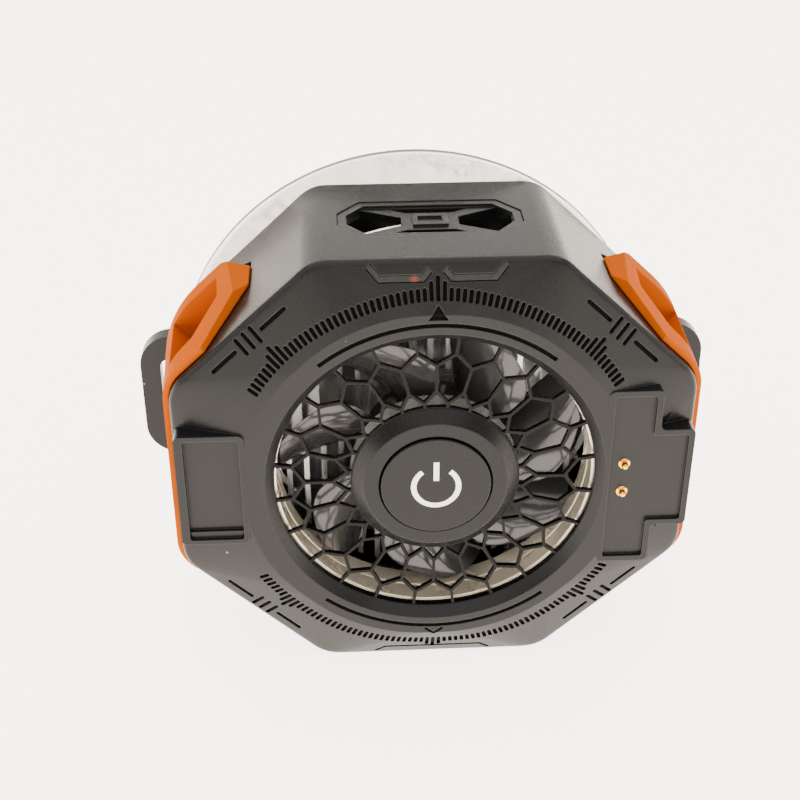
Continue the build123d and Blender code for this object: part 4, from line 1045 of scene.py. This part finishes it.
@dataclass
class Hub(SubAssembly):
    """Guard grille, hub cap and power button with its printed sign."""

    button_radius: float = 11.6
    button_front: float = -7.1
    cap_front: float = -6.6
    cup_front: float = -4.4
    rib_back: float = -3.3
    cup_radius: float = 17.8
    cup_wall: float = 1.4
    board_front: float = -1.2
    button_flange: float = 12.8
    button_round: float = 0.3
    flange_front: float = -4.2
    flange_back: float = -3.6
    cap_bore: float = 11.9
    cap_face: float = 15.0
    cap_radius: float = 17.7
    cap_round: float = 0.22
    skirt_outer: float = 16.25
    skirt_inner: float = 14.95
    sign_radius: float = 4.7
    sign_stroke: float = 1.15
    sign_gap: float = math.radians(76)
    sign_bar: float = 4.6
    bar_drop: float = 0.92
    ink: float = 0.02
    wall_tilt: float = 0.1
    steps: int = 160
    sign_steps: int = 72

    def build(self) -> None:
        """Make and dress the guard, cap, button and sign."""
        self.plate_cup(self.refine("guard_grille", GRILLE_BLACK, "grille_plastic"))
        self.cap()
        self.button()
        self.sign()

    def plate_cup(self, guard: Piece) -> None:
        """Show the wall of the hub cup behind the ribs as its bright collar.

        Args:
            guard: Copy of the guard grille.
        """
        guard.data.materials.append(FIN_ALUMINIUM.material())
        for face in guard.data.polygons:
            radius = math.hypot(face.center.x, face.center.z - AXIS_Z * MM) / MM
            depth = face.center.y / MM - SEAM
            near = abs(radius - self.cup_radius) < self.cup_wall / 2
            upright = abs(face.normal.y) < self.wall_tilt
            if near and upright and depth > self.rib_back:
                face.material_index = 1

    def cap(self) -> None:
        """Turn the bevelled ring."""
        cap = turned(
            "hub_cap_ring",
            [
                (self.cap_bore, self.cap_front),
                (self.cap_face, self.cap_front),
                (self.cap_radius, self.cup_front),
                (self.skirt_outer, self.cup_front),
                (self.skirt_outer, self.board_front),
                (self.skirt_inner, self.board_front),
                (self.skirt_inner, self.cup_front),
                (self.cap_bore, self.cup_front),
            ],
            self.steps,
        )
        soften(cap, self.cap_round)
        smooth(cap)
        self.place(cap, HUB_BLACK, "hub_plastic", "hub_cap")

    def button(self) -> None:
        """Turn the button with its flange."""
        button = turned(
            "power_button_disc",
            [
                (0.0, self.button_front),
                (self.button_radius, self.button_front),
                (self.button_radius, self.flange_front),
                (self.button_flange, self.flange_front),
                (self.button_flange, self.flange_back),
                (0.0, self.flange_back),
            ],
            self.steps,
        )
        soften(button, self.button_round)
        smooth(button)
        self.place(button, HUB_BLACK, "hub_plastic", "power_button", body=Body.BUTTON)

    def sign(self) -> None:
        """Print the common on-off sign on the button: an open ring and a bar."""
        front, back = self.button_front - self.ink, self.button_front + self.ink
        inner, outer = self.sign_radius - self.sign_stroke / 2, self.sign_radius + self.sign_stroke / 2
        ring = turned(
            "on_off_ring",
            [(inner, front), (outer, front), (outer, back), (inner, back)],
            self.sign_steps,
            arc=math.tau - self.sign_gap,
            start=math.pi / 2 + self.sign_gap / 2,
        )
        deselect()
        bpy.ops.mesh.primitive_cube_add(size=MM)
        bar = bpy.context.object
        bpy.ops.object.mode_set(mode="EDIT")
        bpy.ops.mesh.select_all(action="SELECT")
        bpy.ops.transform.resize(value=(self.sign_stroke, 2 * self.ink, self.sign_bar))
        middle = (0.0, SEAM + self.button_front, AXIS_Z + self.sign_radius - self.bar_drop)
        bpy.ops.transform.translate(value=Vector(middle) * MM)
        bpy.ops.object.mode_set(mode="OBJECT")
        sign = joined("on_off_sign", [ring, bar])
        self.place(sign, SILVER_INK, "hub_plastic", body=Body.BUTTON)


@dataclass
class FanUnit(SubAssembly):
    """Rotor, shroud, heat sink and motor."""

    bore: float = 33.6
    band_height: float = 0.28
    band_root: float = 0.3
    band_slope: float = 0.3
    band_round: float = 0.08
    band_steps: int = 192
    bands: tuple[Point, ...] = ((-2.5, 1.7), (2.3, 6.8))

    def build(self) -> None:
        """Make and dress the fan."""
        self.refine("fan_rotor", ROTOR_SMOKE, "rotor_plastic", body=Body.ROTOR)
        self.refine("fan_shroud", SHROUD_CHROME, "shroud_chrome")
        self.shroud_bands()
        self.refine("heat_sink", FIN_ALUMINIUM, "sink_aluminium")
        self.keep(MOTOR_ALUMINIUM, "motor_base")
        self.keep(BRIGHT_STEEL, "rotor_can", "motor_shaft", "front_bearing", "rear_bearing", "stator_core")
        self.keep(FERRITE, "magnet_ring")
        self.keep(COPPER_WIRE, "stator_coils")

    def shroud_bands(self) -> None:
        """Turn the raised bands inside the shroud."""
        inner, root = self.bore - self.band_height, self.bore + self.band_root
        bands = []
        for front, back in self.bands:
            band = turned(
                "shroud_band",
                [
                    (root, front),
                    (inner + self.band_height / 2, front),
                    (inner, front + self.band_slope),
                    (inner, back - self.band_slope),
                    (inner + self.band_height / 2, back),
                    (root, back),
                ],
                self.band_steps,
            )
            soften(band, self.band_round, segments=2)
            smooth(band)
            bands.append(band)
        self.place(joined("shroud_bands", bands), SHROUD_CHROME, "shroud_chrome")


@dataclass
class ChargingPad(SubAssembly):
    """Two sprung contacts, each a turned pin in a flanged barrel."""

    x: float = 39.6
    pitch: float = 7.0
    flange_radius: float = 1.3
    flange_front: float = -6.1
    flange_back: float = -5.8
    flange_slope: Point = (0.25, 0.2)
    barrel_radius: float = 1.0
    barrel_back: float = 0.0
    barrel_round: float = 0.06
    bore: float = 0.73
    pin_radius: float = 0.7
    pin_tip: float = -7.5
    pin_length: float = 3.8
    pin_curve: tuple[Point, ...] = ((0.0, 0.0), (0.28, 0.03), (0.5, 0.16), (0.63, 0.35), (0.7, 0.62))
    pin_edge: float = math.radians(50)
    steps: int = 48

    def build(self) -> None:
        """Make and dress the contacts."""
        places = {
            Body.UPPER_CONTACT: AXIS_Z + self.pitch / 2,
            Body.LOWER_CONTACT: AXIS_Z - self.pitch / 2,
        }
        barrels = []
        for body, z in places.items():
            barrel = turned(
                "contact_barrel",
                [
                    (self.bore, self.flange_front),
                    (self.flange_radius - self.flange_slope[0], self.flange_front),
                    (self.flange_radius, self.flange_front + self.flange_slope[1]),
                    (self.flange_radius, self.flange_back),
                    (self.barrel_radius, self.flange_back),
                    (self.barrel_radius, self.barrel_back),
                    (self.bore, self.barrel_back),
                ],
                self.steps,
                centre=(self.x, z),
            )
            soften(barrel, self.barrel_round, segments=2)
            smooth(barrel)
            barrels.append(barrel)
            pin = turned(
                f"{body.value}_pin",
                [
                    *((radius, self.pin_tip + depth) for radius, depth in self.pin_curve),
                    (self.pin_radius, self.pin_tip + self.pin_length),
                    (0.0, self.pin_tip + self.pin_length),
                ],
                self.steps,
                centre=(self.x, z),
            )
            smooth(pin, self.pin_edge)
            node = "contact_pin_upper" if body is Body.UPPER_CONTACT else "contact_pin_lower"
            self.place(pin, CONTACT_GOLD, "contact_gold", node, body=body)
        self.place(joined("contact_barrel_pair", barrels), CONTACT_GOLD, "contact_gold", "contact_barrels")


@dataclass
class Lights(SubAssembly):
    """Light pipes on the top edge, and the disc at the back with its film and tab."""

    disc_radius: float = 53.3
    disc_shift: float = -2.6
    disc_front: float = 37.4
    disc_thick: float = 1.6
    disc_round: float = 0.5
    rim_tilt: float = 0.75
    steps: int = 256
    film_inset: float = 1.2
    film_thick: float = 0.3

    def build(self) -> None:
        """Make and dress the light pieces."""
        self.refine("light_pipe_left", PIPE_LIT, "pipe_acrylic")
        self.refine("light_pipe_right", PIPE_DARK, "pipe_acrylic")
        self.disc()
        self.film()
        self.refine("film_tab", TAB_BLUE, "tab_blue")
        self.keep(GASKET_FOAM, "disc_gasket")
        self.keep(BOARD_WHITE, "light_board")
        self.keep(PHOSPHOR, "light_chips", "indicator_chips")

    def disc(self) -> None:
        """Turn the disc and paint its rim grey as shade."""
        front, back = self.disc_front, self.disc_front + self.disc_thick
        disc = turned(
            "light_disc_sheet",
            [(0.0, front), (self.disc_radius, front), (self.disc_radius, back), (0.0, back)],
            self.steps,
            centre=(self.disc_shift, self.disc_radius),
        )
        soften(disc, self.disc_round, segments=4)
        smooth(disc)
        self.place(disc, DISC_OPAL, "disc_opal", "light_disc")
        # The rim faces get a grey finish: painted shade at the disc's edge.
        disc.data.materials.append(DISC_RIM_SHADE.material())
        for face in disc.data.polygons:
            if abs(face.normal.y) < self.rim_tilt:
                face.material_index = 1

    def film(self) -> None:
        """Turn the film on the back of the disc."""
        front = self.disc_front + self.disc_thick
        back = front + self.film_thick
        radius = self.disc_radius - self.film_inset
        film = turned(
            "disc_film_sheet",
            [(0.0, front), (radius, front), (radius, back), (0.0, back)],
            self.steps,
            centre=(self.disc_shift, self.disc_radius),
        )
        smooth(film)
        self.place(film, FILM_CLEAR, "film_clear", "disc_film")


@dataclass
class Inside(SubAssembly):
    """Boards, batteries, switch and screws inside the housing."""

    def build(self) -> None:
        """Dress the inner pieces."""
        self.keep(BOARD_GREEN, "control_board", "indicator_board", "button_board")
        self.keep(SWITCH_BLACK, "button_switch", "switch_plunger")
        self.keep(BATTERY_WRAP, "battery_left", "battery_right")
        self.keep(ZINC_STEEL, "cover_screws", "shroud_screws", "sink_screws", "motor_screws", "board_screws")


@dataclass(frozen=True)
class SoftBox:
    """An area light of the studio, with places and sizes in metres and its power in watts."""

    name: str
    place: Place
    aim: Place
    width: float
    height: float
    power: float


SOFT_BOXES = (
    SoftBox("overhead_box", (0.0, -0.15, 1.2), (0.0, -0.05, 0.0), 2.2, 2.2, 40.0),
    SoftBox("front_panel", (0.1, -1.42, 0.56), (0.0, 0.0, 0.1), 0.6, 0.6, 4.5),
    SoftBox("back_panel", (0.0, 1.7, 0.95), (0.0, 0.0, 0.05), 3.2, 1.4, 38.0),
    SoftBox("left_panel", (-0.9, -0.15, 0.4), (0.0, 0.0, 0.05), 0.8, 0.8, 5.0),
    SoftBox("right_panel", (0.9, -0.1, 0.4), (0.0, 0.0, 0.05), 0.8, 0.8, 4.0),
)


@dataclass
class Studio:
    """Camera, soft light and a pale floor."""

    lens: float = 62.37
    sensor: float = 36.0
    clip: Point = (0.01, 20.0)
    eye: Place = (-20.43, -263.09, 215.15)
    pitch: float = math.radians(31.2)
    yaw: float = math.radians(-3.1)
    floor_radius: float = 3.0
    floor_sides: int = 96
    floor_roughness: float = 0.8
    rim_steps: tuple[Point, ...] = ((0.04, 1.05), (0.21, 1.04))
    floor_colour: str = "#FFF5EA"
    floor_glow: float = 4.6
    light_colour: str = "#FFF8F0"
    room_strength: float = 0.3

    def build(self) -> None:
        """Set up the studio."""
        self.camera()
        self.floor()
        self.lights()

    def camera(self) -> None:
        """Place the camera at the photograph's view."""
        data = bpy.data.cameras.new("photo_camera")
        data.lens = self.lens
        data.sensor_width = self.sensor
        data.clip_start, data.clip_end = self.clip
        camera = bpy.data.objects.new("photo_camera", data)
        bpy.context.scene.collection.objects.link(camera)
        camera.location = Vector(self.eye) * MM
        camera.rotation_euler = (math.pi / 2 - self.pitch, 0.0, self.yaw)
        bpy.context.scene.camera = camera

    def floor(self) -> None:
        """Lay a round, pale floor that turns up at its rim."""
        deselect()
        bpy.ops.mesh.primitive_circle_add(
            vertices=self.floor_sides, radius=self.floor_radius, fill_type="NGON"
        )
        floor = bpy.context.object
        floor.name = "studio_floor"
        bpy.ops.object.mode_set(mode="EDIT")
        bpy.ops.mesh.select_all(action="SELECT")
        bpy.ops.mesh.region_to_loop()
        for rise, spread in self.rim_steps:
            bpy.ops.mesh.extrude_edges_move(TRANSFORM_OT_translate={"value": (0.0, 0.0, rise)})
            bpy.ops.transform.resize(value=(spread, spread, 1.0))
        bpy.ops.object.mode_set(mode="OBJECT")
        material = bpy.data.materials.new("studio_paper")
        material.use_nodes = True
        shader = material.node_tree.nodes["Principled BSDF"]
        shader.inputs["Base Color"].default_value = linear(self.floor_colour)
        shader.inputs["Roughness"].default_value = self.floor_roughness
        shader.inputs["Emission Color"].default_value = linear(self.floor_colour)
        shader.inputs["Emission Strength"].default_value = self.floor_glow
        floor.data.materials.append(material)

    def lights(self) -> None:
        """Hang soft boxes above, and fill the room with pale light."""
        world = bpy.data.worlds.new("studio_room")
        bpy.context.scene.world = world
        world.use_nodes = True
        world.node_tree.nodes["Background"].inputs["Color"].default_value = linear(self.light_colour)
        world.node_tree.nodes["Background"].inputs["Strength"].default_value = self.room_strength
        for box in SOFT_BOXES:
            data = bpy.data.lights.new(box.name, "AREA")
            data.shape = "RECTANGLE"
            data.size, data.size_y = box.width, box.height
            data.energy = box.power
            data.color = linear(self.light_colour)[:3]
            lamp = bpy.data.objects.new(box.name, data)
            bpy.context.scene.collection.objects.link(lamp)
            lamp.location = box.place
            lamp.rotation_euler = (Vector(box.aim) - Vector(box.place)).to_track_quat("-Z", "Y").to_euler()


def main() -> None:
    """Build the studio and every sub-assembly."""
    logging.basicConfig(level=logging.INFO, format="%(message)s")
    Studio().build()
    for group in (Housing(), Grips(), Hub(), FanUnit(), ChargingPad(), Lights(), Inside()):
        LOG.info("building %s", type(group).__name__)
        group.build()
    deselect()


if __name__ == "__main__":
    main()
